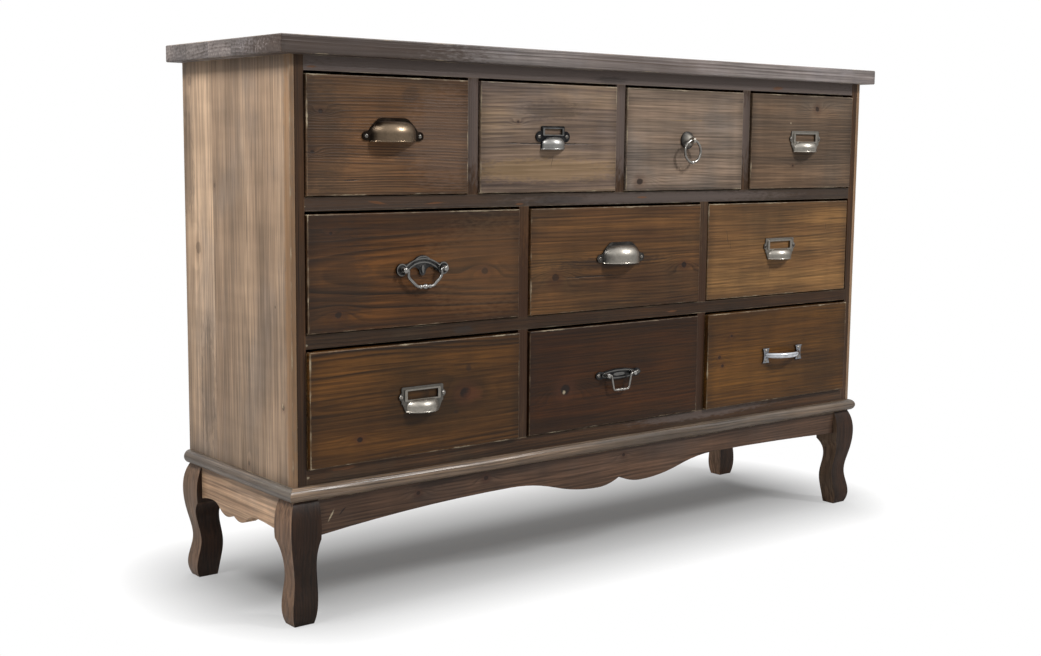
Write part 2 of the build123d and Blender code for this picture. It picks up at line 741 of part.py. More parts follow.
def ring(wall):
    """The ring that hangs in the eye, with the thicker bead at its bottom."""
    pivot = Plane(
        origin=wall.from_local_coords((0, -RING_RADIUS, RING_PIVOT_REACH)),
        x_dir=(1, 0, 0), z_dir=(0, -1, 0),
    )
    with BuildPart() as hoop:
        with BuildSketch(Plane(
            origin=pivot.from_local_coords((RING_RADIUS, 0, 0)), x_dir=(1, 0, 0), z_dir=(0, 0, 1)
        )):
            Circle(RING_WIRE)
        revolve(axis=Axis(pivot.origin, (0, -1, 0)))
        add(bead(pivot, 0, -RING_RADIUS, RING_WIRE, 1.5 * RING_WIRE, 4.0))
    return hoop.part


def pivot_posts(wall, spacing, post_radius, wire):
    """The pair of bored posts with rounded ends that hold a bail, added to the plate."""
    for hand in (-1, 1):
        with BuildPart() as post:
            with BuildSketch(wall):
                with Locations((hand * spacing / 2, 0)):
                    Circle(post_radius)
            extrude(amount=BAIL_PIVOT_REACH + 2 * wire)
            fillet(post.edges().sort_by(Axis.Y)[0], POST_ROUNDING)
        add(post.part)
    middle = wall.from_local_coords((0, 0, BAIL_PIVOT_REACH))
    with BuildSketch(Plane(origin=middle, x_dir=(0, 1, 0), z_dir=(1, 0, 0))) as bore:
        Circle(wire + PIVOT_CLEARANCE)
    extrude(bore.sketch, amount=spacing / 2 + post_radius, both=True, mode=Mode.SUBTRACT)


def crown_plate(wall):
    """Cast plate with a crowned middle, sloping shoulders, two raised arches, a leaf that
    hangs from the middle and a rimmed boss at each end."""
    thickness = 2.6
    boss = 8.6
    boss_at = 35.0
    with BuildPart() as plate:
        with BuildSketch(wall):
            with BuildLine():
                ThreePointArc((-15.5, 11), (0, 19), (15.5, 11))
                Line((15.5, 11), (38, 5))
                Line((38, 5), (34, -8))
                Line((34, -8), (22, -2))
                ThreePointArc((22, -2), (12, 2.5), (5, -4))
                ThreePointArc((5, -4), (0, -9), (-5, -4))
                ThreePointArc((-5, -4), (-12, 2.5), (-22, -2))
                Line((-22, -2), (-34, -8))
                Line((-34, -8), (-38, 5))
                Line((-38, 5), (-15.5, 11))
            make_face()
            with Locations((-boss_at, 0), (boss_at, 0)):
                Circle(boss)
        extrude(amount=thickness)
        with BuildSketch(wall):
            with BuildLine() as upper_arch:
                ThreePointArc((-28, 4.5), (0, 14.5), (28, 4.5))
            SlotArc(upper_arch.edge(), 1.8)
            with BuildLine() as lower_arch:
                ThreePointArc((-24, 0.5), (0, 9.5), (24, 0.5))
            SlotArc(lower_arch.edge(), 1.8)
            with BuildLine() as crest:
                ThreePointArc((-11, 14.2), (0, 17.4), (11, 14.2))
            SlotArc(crest.edge(), 1.4)
            Ellipse(2.2, 5.6)
            with Locations((-boss_at, 0), (boss_at, 0)):
                Circle(boss)
                Circle(boss - 1.6, mode=Mode.SUBTRACT)
        extrude(amount=thickness + RELIEF)
        pivot_posts(wall, CROWN_SPACING, CROWN_POST, BAIL_WIRE)
    return plate.part


def swan_plate(wall):
    """Long oval cast plate with stepped ends and a raised border, behind the swan-necked bail."""
    thickness = 2.2
    with BuildPart() as plate:
        with BuildSketch(wall):
            Ellipse(40, 8.5)
            with Locations((-38, 0), (38, 0)):
                Ellipse(9.5, 6)
        extrude(amount=thickness)
        with BuildSketch(wall):
            Ellipse(36, 6.8)
            Ellipse(33.5, 5.0, mode=Mode.SUBTRACT)
            Ellipse(12, 2.6)
        extrude(amount=thickness + RELIEF)
        pivot_posts(wall, SWAN_SPACING, SWAN_POST, SWAN_WIRE)
    return plate.part


def bail(wall, route, radii, wire, beads):
    """A bail bent from round bar along half a route that is mirrored, hanging at rest.

    Each bead is given by its distance from the middle, its level, radius and half length.
    """
    hang = Plane(
        origin=wall.from_local_coords((0, 0, BAIL_PIVOT_REACH)), x_dir=(1, 0, 0), z_dir=(0, -1, 0)
    )
    points = [(-x, z) for x, z in route] + [(x, z) for x, z in reversed(route)]
    start = hang.from_local_coords((-route[0][0], 0, 0))
    with BuildPart() as bar:
        with BuildLine(hang):
            FilletPolyline(*points, radius=radii + radii[::-1])
        with BuildSketch(Plane(origin=start, x_dir=(0, 1, 0), z_dir=(1, 0, 0))):
            Circle(wire)
        sweep()
        for along, level, radius, half_length in beads:
            add(bead(hang, along, level, wire, radius, half_length))
    return bar.part


def bridge_handle(wall):
    """Bow handle: one bowed bar between two feet that flare to the top and the bottom."""
    centre_half = BRIDGE_SPACING / 2
    half_thickness, half_height = BRIDGE_BAR
    with BuildPart() as handle:
        top = BRIDGE_FOOT_HEIGHT / 2
        waist = 0.6 * BRIDGE_FOOT_HALF
        for middle in (-centre_half, centre_half):
            left = middle - BRIDGE_FOOT_HALF
            right = middle + BRIDGE_FOOT_HALF
            with BuildSketch(wall):
                with BuildLine():
                    Line((left, top), (right, top))
                    ThreePointArc((right, top), (middle + waist, 0), (right, -top))
                    Line((right, -top), (left, -top))
                    ThreePointArc((left, -top), (middle - waist, 0), (left, top))
                make_face()
            extrude(amount=BRIDGE_FOOT_THICKNESS)
        plan = Plane(origin=wall.origin, x_dir=(1, 0, 0), z_dir=(0, 0, 1))
        with BuildLine(plan) as bow:
            ThreePointArc(
                (-centre_half, 0), (0, half_thickness - BRIDGE_REACH), (centre_half, 0)
            )
        with BuildSketch(Plane(origin=bow.line @ 0, x_dir=(0, 0, 1), z_dir=bow.line % 0)):
            Ellipse(half_height, half_thickness)
        sweep()
        split(bisect_by=wall, keep=Keep.TOP)
    return handle.part


def pull_pieces(kind, wall):
    """The fixed pull on a front and, where there is one, the piece that swings on it."""
    if kind == "cup":
        return cup_pull(wall), None, None
    if kind == "card":
        sizes = (CARD_WIDTH, CARD_TOP, CARD_WINDOW, CARD_EARS, CARD_CUP, CARD_CUP_REACH)
        return card_pull(wall, *sizes), None, None
    if kind == "small_card":
        sizes = (SMALL_WIDTH, SMALL_TOP, SMALL_WINDOW, SMALL_EARS, SMALL_CUP, SMALL_CUP_REACH)
        return card_pull(wall, *sizes), None, None
    if kind == "ring":
        return ring_rosette(wall), "ring", ring(wall)
    if kind == "crown":
        turn = CROWN_SPACING / 2 - CROWN_POST - 2.5
        route = [(CROWN_SPACING / 2 + 2, 0), (turn, 0), (turn + 1, -10), (13, -24)]
        return crown_plate(wall), "bail", bail(wall, route, [2.6, 10.0, 12.0], BAIL_WIRE, [
            (0, -24, 4.0, 4.5), (-8, -24, 3.1, 3.0), (8, -24, 3.1, 3.0)])
    if kind == "swan":
        route = [(SWAN_SPACING / 2 + 2, 0), (21, 0), (15.5, -24)]
        return swan_plate(wall), "bail", bail(wall, route, [2.6, 4.0], SWAN_WIRE, [
            (-6.5, -24, 2.4, 2.6), (0, -24, 2.4, 2.6), (6.5, -24, 2.4, 2.6)])
    return bridge_handle(wall), None, None


number = 0
for row, columns in enumerate(COLUMNS):
    width = front_width(columns)
    for x in front_centres(columns):
        proud, kind, shift = DRAWERS[number]
        number += 1
        name = f"drawer_{number:02d}"
        save(drawer_front(x, row, proud, width), f"{name}_front")
        save(drawer_box(x, row, proud, width), f"{name}_box")
        wall = Plane(
            origin=(x + shift, CASE_FRONT - proud, row_top(row) - FRONT_HEIGHT / 2),
            x_dir=(1, 0, 0), z_dir=(0, -1, 0),
        )
        fixed, swinging_name, swinging = pull_pieces(kind, wall)
        save(fixed, f"{name}_pull")
        if swinging:
            save(swinging, f"{name}_{swinging_name}")
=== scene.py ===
import math

import bmesh
import bpy
from mathutils import Matrix, Vector


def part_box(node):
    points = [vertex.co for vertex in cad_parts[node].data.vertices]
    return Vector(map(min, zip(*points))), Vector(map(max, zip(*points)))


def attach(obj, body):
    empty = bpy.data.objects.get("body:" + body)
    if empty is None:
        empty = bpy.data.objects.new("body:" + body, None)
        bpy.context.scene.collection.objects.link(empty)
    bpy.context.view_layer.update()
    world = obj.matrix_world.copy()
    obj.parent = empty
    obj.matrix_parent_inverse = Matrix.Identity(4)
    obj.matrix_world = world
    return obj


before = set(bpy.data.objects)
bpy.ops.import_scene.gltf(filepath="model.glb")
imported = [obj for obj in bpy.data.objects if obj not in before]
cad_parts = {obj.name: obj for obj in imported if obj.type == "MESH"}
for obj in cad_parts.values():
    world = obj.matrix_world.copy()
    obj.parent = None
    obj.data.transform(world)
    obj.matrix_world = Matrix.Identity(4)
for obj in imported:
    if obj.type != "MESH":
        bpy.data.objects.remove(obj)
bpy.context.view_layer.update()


# The studio. A long lens stands at the chest's left front corner, just below the top board.
# One soft lamp lights the left side, a stronger one the front from the right, and a wide one
# hangs behind and above for the soft shadow on a pale floor.
IMAGE_WIDTH = 1041
FOCAL_PIXELS = 1424.45
SENSOR_WIDTH = 36.0
EYE = Vector((-1.5069, -1.7754, 0.6482))
SIGHT = Vector((0.6218, 0.7728, -0.1272)).normalized()
LEVEL = Vector((0.7799, -0.6259, 0.0097))

back = -SIGHT
right = (LEVEL - back * LEVEL.dot(back)).normalized()
upward = back.cross(right)
camera_data = bpy.data.cameras.new("camera")
camera_data.sensor_width = SENSOR_WIDTH
camera_data.lens = FOCAL_PIXELS / IMAGE_WIDTH * SENSOR_WIDTH
camera = bpy.data.objects.new("camera", camera_data)
turn = Matrix((right, upward, back)).transposed().to_4x4()
camera.matrix_world = Matrix.Translation(EYE) @ turn
bpy.context.scene.collection.objects.link(camera)
bpy.context.scene.camera = camera
bpy.context.scene.view_settings.view_transform = "Standard"

# place, what it is aimed at, width in metres and power in watts
LAMPS = {
    "side_lamp": ((-1.4, -0.15, 1.7), (-0.6, 0.0, 0.7), 0.5, 25.0),
    "front_lamp": ((1.7, -2.6, 3.0), (0.1, -0.15, 0.6), 0.6, 100.0),
    "top_lamp": ((0.2, 1.3, 3.3), (0.0, 0.0, 0.3), 2.4, 80.0),
}
for name, (place, aim, size, power) in LAMPS.items():
    lamp_data = bpy.data.lights.new(name, "AREA")
    lamp_data.shape = "SQUARE"
    lamp_data.size = size
    lamp_data.energy = power
    lamp = bpy.data.objects.new(name, lamp_data)
    lamp.location = place
    lamp.rotation_euler = (Vector(aim) - Vector(place)).to_track_quat("-Z", "Y").to_euler()
    bpy.context.scene.collection.objects.link(lamp)


def put(tree, kind, inputs=None, **settings):
    """Adds one node to a tree: its settings first, then each socket's value or link."""
    node = tree.nodes.new(kind)
    for name, value in settings.items():
        setattr(node, name, value)
    for key, value in (inputs or {}).items():
        if isinstance(value, bpy.types.NodeSocket):
            tree.links.new(value, node.inputs[key])
        else:
            node.inputs[key].default_value = value
    return node


def calc(tree, operation, *values):
    """One sum on numbers that change over the surface."""
    return put(tree, "ShaderNodeMath", dict(enumerate(values)), operation=operation).outputs[0]


def squared(tree, value):
    """A number times itself."""
    return calc(tree, "POWER", value, 2.0)


def split(tree, vector):
    """The three numbers of a vector."""
    return put(tree, "ShaderNodeSeparateXYZ", {0: vector}).outputs[:3]


def ramp(tree, value, low, high, start=0.0, end=1.0):
    """A soft step: value from low to high becomes start to end."""
    sockets = {"Value": value, "From Min": low, "From Max": high, "To Min": start, "To Max": end}
    return put(tree, "ShaderNodeMapRange", sockets, interpolation_type="SMOOTHSTEP").outputs[0]


def blend(tree, factor, first, second, kind="MIX"):
    """Two colours mixed by a mask."""
    sockets = {0: factor, 6: first, 7: second}
    return put(tree, "ShaderNodeMix", sockets, data_type="RGBA", blend_type=kind).outputs[2]


SOFT_WHITE = (1.0, 0.99, 0.975, 1.0)
SOFT_STRENGTH = 0.34
ROOM_LOW, ROOM_HIGH = (-0.3, 0.28), (0.7, 1.0)    # height and brightness, as polished metal shows them
WHITE = (1.0, 1.0, 1.0, 1.0)
world = bpy.data.worlds.new("studio")
bpy.context.scene.world = world
world.use_nodes = True
tree = world.node_tree
tree.nodes.clear()
rays = put(tree, "ShaderNodeLightPath").outputs
height = split(tree, put(tree, "ShaderNodeTexCoord").outputs["Generated"])[2]
room = ramp(tree, height, ROOM_LOW[0], ROOM_HIGH[0], ROOM_LOW[1], ROOM_HIGH[1])
soft = put(tree, "ShaderNodeBackground", {"Color": SOFT_WHITE, "Strength": SOFT_STRENGTH}).outputs[0]
seen = put(tree, "ShaderNodeBackground", {"Color": WHITE, "Strength": 1.0}).outputs[0]
mirrored = put(tree, "ShaderNodeBackground", {"Color": WHITE, "Strength": room}).outputs[0]
lit = put(tree, "ShaderNodeMixShader", {0: rays["Is Glossy Ray"], 1: soft, 2: mirrored}).outputs[0]
clear = calc(tree, "MAXIMUM", rays["Is Camera Ray"], rays["Is Transmission Ray"])
shown = put(tree, "ShaderNodeMixShader", {0: clear, 1: lit, 2: seen}).outputs[0]
put(tree, "ShaderNodeOutputWorld", {0: shown})


def new_object(name, mesh_source, smooth_angle=None):
    """Turns a bmesh into an object at the origin, with faces outwards and round parts smooth."""
    mesh = bpy.data.meshes.new(name)
    mesh_source.to_mesh(mesh)
    mesh_source.free()
    thing = bpy.data.objects.new(name, mesh)
    bpy.context.scene.collection.objects.link(thing)
    if smooth_angle is not None:
        mesh.shade_smooth()
        mesh.set_sharp_from_angle(angle=math.radians(smooth_angle))
    return thing


# The floor is plain white to the camera, with a shade under the chest that is darkest in a core
# as long as the chest and fades out over its reach.
FLOOR_HALF = 9.0
SHADE_CORE = (0.5, 0.03)
SHADE_REACH = (0.26, 0.33)
SHADE_MIDDLE = 0.05
SHADE_CURVE = 1.2
SHADE_RISE = 0.86
SHADE_DARKEST = 0.135
SHADE_ENDS = 0.8
SHADOW_GREY = (0.16, 0.16, 0.16, 1.0)
FLOOR_GREY = (0.5, 0.5, 0.5, 1.0)
floor_mesh = bmesh.new()
bmesh.ops.create_grid(floor_mesh, x_segments=8, y_segments=8, size=FLOOR_HALF)
floor = new_object("floor", floor_mesh)
paint = bpy.data.materials.new("white_floor")
paint.use_nodes = True
tree = paint.node_tree
tree.nodes.clear()
rays = put(tree, "ShaderNodeLightPath").outputs
spot_x, spot_y, _ = split(tree, put(tree, "ShaderNodeTexCoord").outputs["Object"])
shifted = calc(tree, "SUBTRACT", spot_y, SHADE_MIDDLE)
parts = []
for value, core, reach in zip((spot_x, shifted), SHADE_CORE, SHADE_REACH):
    past = calc(tree, "SUBTRACT", calc(tree, "ABSOLUTE", value), core)
    parts.append(squared(tree, calc(tree, "DIVIDE", calc(tree, "MAXIMUM", past, 0.0), reach)))
distance = calc(tree, "MINIMUM", calc(tree, "SQRT", calc(tree, "ADD", *parts)), 1.0)
shade = calc(tree, "MULTIPLY_ADD", calc(tree, "POWER", distance, SHADE_CURVE), SHADE_RISE, SHADE_DARKEST)
away = ramp(tree, distance, SHADE_ENDS, 1.0)
matt = put(tree, "ShaderNodeBsdfDiffuse", {"Color": FLOOR_GREY}).outputs[0]
shadowed = put(tree, "ShaderNodeBsdfDiffuse", {"Color": SHADOW_GREY}).outputs[0]
lift = put(tree, "ShaderNodeEmission", {"Strength": shade}).outputs[0]
near = put(tree, "ShaderNodeAddShader", {0: shadowed, 1: lift}).outputs[0]
white = put(tree, "ShaderNodeEmission", {"Strength": 1.0}).outputs[0]
look = put(tree, "ShaderNodeMixShader", {0: away, 1: near, 2: white}).outputs[0]
clear = calc(tree, "MAXIMUM", rays["Is Camera Ray"], rays["Is Transmission Ray"])
final = put(tree, "ShaderNodeMixShader", {0: clear, 1: matt, 2: look}).outputs[0]
put(tree, "ShaderNodeOutputMaterial", {0: final})
floor.data.materials.append(paint)


# The top board. Five pine boards glued edge to edge, stained walnut brown and waxed, with the
# end grain showing at both ends and all arrises rubbed through; its grey tones carry painted sheen.
def tone(red, green, blue):
    """A colour as it shows on a screen, 0 to 255, as linear light."""
    parts = [value / 255.0 for value in (red, green, blue)]
    return tuple(p / 12.92 if p <= 0.04045 else ((p + 0.055) / 1.055) ** 2.4 for p in parts) + (1.0,)


def group(name, inputs, outputs):
    """An empty shader group with named sockets; gives its tree, what comes in and what goes out."""
    kinds = {"v": "NodeSocketVector", "f": "NodeSocketFloat", "c": "NodeSocketColor"}
    tree = bpy.data.node_groups.new(name, "ShaderNodeTree")
    for label, kind in inputs.items():
        tree.interface.new_socket(name=label, in_out="INPUT", socket_type=kinds[kind])
    for label, kind in outputs.items():
        tree.interface.new_socket(name=label, in_out="OUTPUT", socket_type=kinds[kind])
    return tree, put(tree, "NodeGroupInput").outputs, put(tree, "NodeGroupOutput")


def chance_of(tree, number):
    """A value from 0 to 1 that stays the same for each whole number."""
    return put(tree, "ShaderNodeTexWhiteNoise", {"W": number}, noise_dimensions="1D").outputs["Value"]


def noise(tree, place, scale, seed, detail=2.0, roughness=0.55):
    """Noise stretched by a scale in cycles per metre along each way of the board."""
    stretched = put(tree, "ShaderNodeVectorMath", {0: place, 1: scale}, operation="MULTIPLY").outputs[0]
    sockets = {"Vector": stretched, "W": seed, "Scale": 1.0, "Detail": detail, "Roughness": roughness}
    return put(tree, "ShaderNodeTexNoise", sockets, noise_dimensions="4D").outputs["Fac"]


# stained_board: growth rings round a pith that lies off the board, fibres along the grain, broad
# bands and pooled stain. Place is (along the grain, across it, through the board) in metres.
# The patterns are in cycles per metre along, across and through the grain.
SWAY = (1.6, 5.0, 5.0)
WAVER = (7.0, 34.0, 34.0)
FADING = (3.0, 12.0, 12.0)
FIBRES = (6.0, 300.0, 300.0)
STREAKS = (1.9, 120.0, 120.0)
BANDS = (1.5, 22.0, 22.0)
POOLS = (6.0, 11.0, 11.0)
CLOUDS = (3.0, 8.0, 8.0)
CHATTER = (30.0, 4.0, 4.0)
stained_board, given, result = group(
    "stained_board",
    {"Place": "v", "Seed": "f", "Pith": "v", "Slope": "f", "Spacing": "f", "Bulge": "f",
     "Pale": "c", "Brown": "c", "Dark": "c", "Grey": "c", "Rings": "f", "Pooling": "f",
     "Fibre": "f"},
    {"Colour": "c", "Roughness": "f", "Height": "f"},
)
tree = stained_board
place, seed = given["Place"], given["Seed"]
along, across, through = split(tree, place)
pith_across, pith_through, _ = split(tree, given["Pith"])
sway = calc(tree, "MULTIPLY_ADD", noise(tree, place, SWAY, seed), 0.05, -0.025)
sideways = calc(tree, "ADD", calc(tree, "SUBTRACT", across, pith_across), sway)
slanted = calc(tree, "MULTIPLY_ADD", along, given["Slope"], through)
inwards = calc(tree, "SUBTRACT", slanted, pith_through)
sides = calc(tree, "MULTIPLY", sideways, sideways), calc(tree, "MULTIPLY", inwards, inwards)
radius = calc(tree, "SQRT", calc(tree, "ADD", *sides))
waver = calc(tree, "MULTIPLY_ADD", noise(tree, place, WAVER, seed, 1.0), 0.9, -0.45)
bent = calc(tree, "ADD", radius, given["Bulge"])
years = calc(tree, "ADD", calc(tree, "DIVIDE", bent, given["Spacing"]), waver)
part_year = calc(tree, "FRACT", years)
late = calc(tree, "MULTIPLY", ramp(tree, part_year, 0.15, 0.82), ramp(tree, part_year, 0.86, 1.0, 1.0, 0.0))
which = calc(tree, "ADD", calc(tree, "FLOOR", years), seed)
vigour = calc(tree, "MULTIPLY_ADD", chance_of(tree, which), 0.75, 0.25)
faded = ramp(tree, noise(tree, place, FADING, calc(tree, "ADD", seed, 3.1)), 0.3, 0.6, 0.4, 1.0)
ring = calc(tree, "MULTIPLY", calc(tree, "MULTIPLY", late, vigour), faded)
fibre = noise(tree, place, FIBRES, seed, 4.0, 0.72)
streak = noise(tree, place, STREAKS, seed, 3.0, 0.6)
band = noise(tree, place, BANDS, calc(tree, "ADD", seed, 7.7), 3.0)
pool = noise(tree, place, POOLS, calc(tree, "ADD", seed, 5.3), 5.0, 0.62)
cloud = noise(tree, place, CLOUDS, calc(tree, "ADD", seed, 9.9), 3.0, 0.6)
mixed = blend(tree, ramp(tree, band, 0.36, 0.62), given["Pale"], given["Brown"])
pooled = calc(tree, "MULTIPLY", ramp(tree, pool, 0.44, 0.68), given["Pooling"])
mixed = blend(tree, pooled, mixed, given["Grey"])
streaked = ramp(tree, streak, 0.46, 0.78, 0.0, 0.5)
depth = calc(tree, "ADD", calc(tree, "MULTIPLY", ring, given["Rings"]), streaked)
mixed = blend(tree, calc(tree, "MINIMUM", depth, 1.0), mixed, given["Dark"])
lines = calc(tree, "MULTIPLY_ADD", ramp(tree, fibre, 0.34, 0.66, -0.36, 0.4), given["Fibre"], 1.0)
chatter = noise(tree, place, CHATTER, calc(tree, "ADD", seed, 2.2), 2.0)
shade = calc(tree, "MULTIPLY", lines, ramp(tree, cloud, 0.3, 0.7, 1.26, 0.76))
shade = calc(tree, "MULTIPLY", shade, ramp(tree, chatter, 0.3, 0.7, 0.92, 1.08))
grey_shade = put(tree, "ShaderNodeCombineXYZ", {0: shade, 1: shade, 2: shade}).outputs[0]
mixed = blend(tree, 1.0, mixed, grey_shade, "MULTIPLY")
relief = calc(tree, "ADD", calc(tree, "MULTIPLY", ring, 0.6), calc(tree, "MULTIPLY", fibre, 0.5))
gloss = calc(tree, "ADD", ramp(tree, streak, 0.3, 0.7, 0.4, 0.56), calc(tree, "MULTIPLY", ring, -0.06))
tree.links.new(mixed, result.inputs["Colour"])
tree.links.new(gloss, result.inputs["Roughness"])
tree.links.new(relief, result.inputs["Height"])

# knot: an ellipse of dense dark wood at Spot (along, across, radius); Bulge bends the rings round
# it, and Halo is the reddened wood beside it.
KNOT_FRAY = (110.0, 110.0, 110.0)
KNOT_BEND = 3.2
knot, given, result = group("knot", {"Place": "v", "Spot": "v", "Seed": "f"},
                            {"Bulge": "f", "Core": "f", "Halo": "f"})
tree = knot
along, across, _ = split(tree, given["Place"])
at_along, at_across, size = split(tree, given["Spot"])
ahead = calc(tree, "DIVIDE", calc(tree, "SUBTRACT", along, at_along), size)
beside = calc(tree, "DIVIDE", calc(tree, "SUBTRACT", across, at_across), size)
frayed = noise(tree, given["Place"], KNOT_FRAY, given["Seed"], 2.0)
ragged = calc(tree, "MULTIPLY_ADD", frayed, 0.7, -0.35)
oval = calc(tree, "ADD", squared(tree, calc(tree, "MULTIPLY", ahead, 0.8)), squared(tree, beside))
distance = calc(tree, "ADD", calc(tree, "SQRT", oval), ragged)
core = ramp(tree, distance, 0.7, 1.1, 1.0, 0.0)
wide = calc(tree, "ADD", squared(tree, calc(tree, "MULTIPLY", ahead, 0.16)),
            squared(tree, calc(tree, "MULTIPLY", beside, 0.42)))
hill = calc(tree, "EXPONENT", calc(tree, "MULTIPLY", wide, -1.0))
tree.links.new(calc(tree, "MULTIPLY", calc(tree, "MULTIPLY", hill, size), KNOT_BEND), result.inputs["Bulge"])
tree.links.new(core, result.inputs["Core"])
tree.links.new(ramp(tree, distance, 0.9, 3.2, 1.0, 0.0), result.inputs["Halo"])

# mark: a ragged scuff, chip, crack, patch of stain or patch of painted sheen at Spot (along, across,
# half height). Stretch draws it out along the grain and Lean tilts it.
MARK_FRAY = (90.0, 320.0, 320.0)
mark, given, result = group(
    "mark", {"Place": "v", "Spot": "v", "Stretch": "f", "Lean": "f", "Ragged": "f"}, {"Mask": "f"}
)
tree = mark
along, across, _ = split(tree, given["Place"])
at_along, at_across, size = split(tree, given["Spot"])
ahead = calc(tree, "SUBTRACT", along, at_along)
tilt = calc(tree, "MULTIPLY", ahead, given["Lean"])
beside = calc(tree, "SUBTRACT", calc(tree, "SUBTRACT", across, at_across), tilt)
drawn = calc(tree, "DIVIDE", calc(tree, "DIVIDE", ahead, size), given["Stretch"])
oval = calc(tree, "ADD", squared(tree, drawn), squared(tree, calc(tree, "DIVIDE", beside, size)))
frayed = noise(tree, given["Place"], MARK_FRAY, at_along, 3.0)
rough = calc(tree, "MULTIPLY", calc(tree, "SUBTRACT", frayed, 0.5), given["Ragged"])
distance = calc(tree, "ADD", calc(tree, "SQRT", oval), rough)
tree.links.new(ramp(tree, distance, 0.45, 1.0, 1.0, 0.0), result.inputs["Mask"])

# worn_arris: how near a point is to an edge of a box, broken up as a rubbed edge is. Edge is the
# thinned stain, Fleck the bare wood, and Grime the wax that stays along the edge.
RUBBING = (70.0, 70.0, 70.0)
PATCHES = (19.0, 19.0, 19.0)
GRIME_REACH = 0.02
worn_arris, given, result = group(
    "worn_arris", {"Place": "v", "Centre": "v", "Half": "v", "Width": "f", "Seed": "f"},
    {"Edge": "f", "Fleck": "f", "Grime": "f"},
)
tree = worn_arris
ends = {0: given["Place"], 1: given["Centre"]}
offset = put(tree, "ShaderNodeVectorMath", ends, operation="SUBTRACT").outputs[0]
offset = put(tree, "ShaderNodeVectorMath", {0: offset}, operation="ABSOLUTE").outputs[0]
inside = put(tree, "ShaderNodeVectorMath", {0: given["Half"], 1: offset}, operation="SUBTRACT").outputs[0]
a, b, c = split(tree, inside)
low, high = calc(tree, "MINIMUM", a, b), calc(tree, "MAXIMUM", a, b)
second = calc(tree, "MAXIMUM", low, calc(tree, "MINIMUM", high, c))
uneven = noise(tree, given["Place"], RUBBING, given["Seed"], 4.0, 0.7)
spread = calc(tree, "MULTIPLY", given["Width"], ramp(tree, uneven, 0.3, 0.75, 0.5, 2.2))
edge = calc(tree, "SUBTRACT", 1.0, calc(tree, "MINIMUM", calc(tree, "DIVIDE", second, spread), 1.0))
patchy = noise(tree, given["Place"], PATCHES, given["Seed"], 3.0, 0.6)
tree.links.new(ramp(tree, edge, 0.1, 0.7), result.inputs["Edge"])
flecked = calc(tree, "MULTIPLY", ramp(tree, edge, 0.0, 0.5), ramp(tree, patchy, 0.5, 0.64))
tree.links.new(flecked, result.inputs["Fleck"])
tree.links.new(ramp(tree, second, 0.0, GRIME_REACH, 1.0, 0.0), result.inputs["Grime"])

KNOT_WOOD = tone(28, 17, 12)
REDDENED = tone(74, 42, 25)
CREAM = tone(178, 164, 138)
GRIME = tone(24, 17, 13)
THIN_STAIN = tone(136, 116, 92)
BOARD_SHIFT = 1.37       # how far each glued board's grain is moved along from its neighbour's
BOARD_DEPTH = 0.09       # how far a board's cut through the rings may differ
MARK_FRINGE = 1.3
BUMP_STRENGTH = 0.35
BUMP_DISTANCE = 0.0008
MARKS = {    # each one's colour and how strongly it covers the stain
    "crack": (tone(22, 15, 11), 0.8),
    "cream": (CREAM, 0.8),
    "orange": (tone(126, 82, 50), 0.7),
    "grey": (tone(56, 52, 50), 0.5),
    "pale": (tone(150, 122, 86), 0.6),
    # haze: painted sheen where it covers the whole top rail and the top row's muntins, a narrow grey streak
    # on the upper and bottom rails
    "haze_and_painted_sheen": (tone(112, 100, 95), 0.6),
    "umber": (tone(36, 26, 20), 0.6),
    "smoke": (tone(44, 36, 31), 0.4),
    "walnut": (tone(66, 50, 40), 0.85),
    "red": (tone(98, 56, 32), 0.4),
    "gold": (tone(158, 128, 86), 0.4),
    # veil: painted sheen over the whole upper rail
    "painted_sheen_veil": (tone(84, 76, 70), 0.4),
    "chestnut": (tone(58, 36, 22), 0.5),
    # dust: on the top board's front edge this patch is painted sheen
    "dust_and_painted_sheen": (tone(128, 108, 96), 0.25),
    "honey": (tone(140, 108, 78), 0.15),
    "amber": (tone(168, 124, 80), 0.45),
}


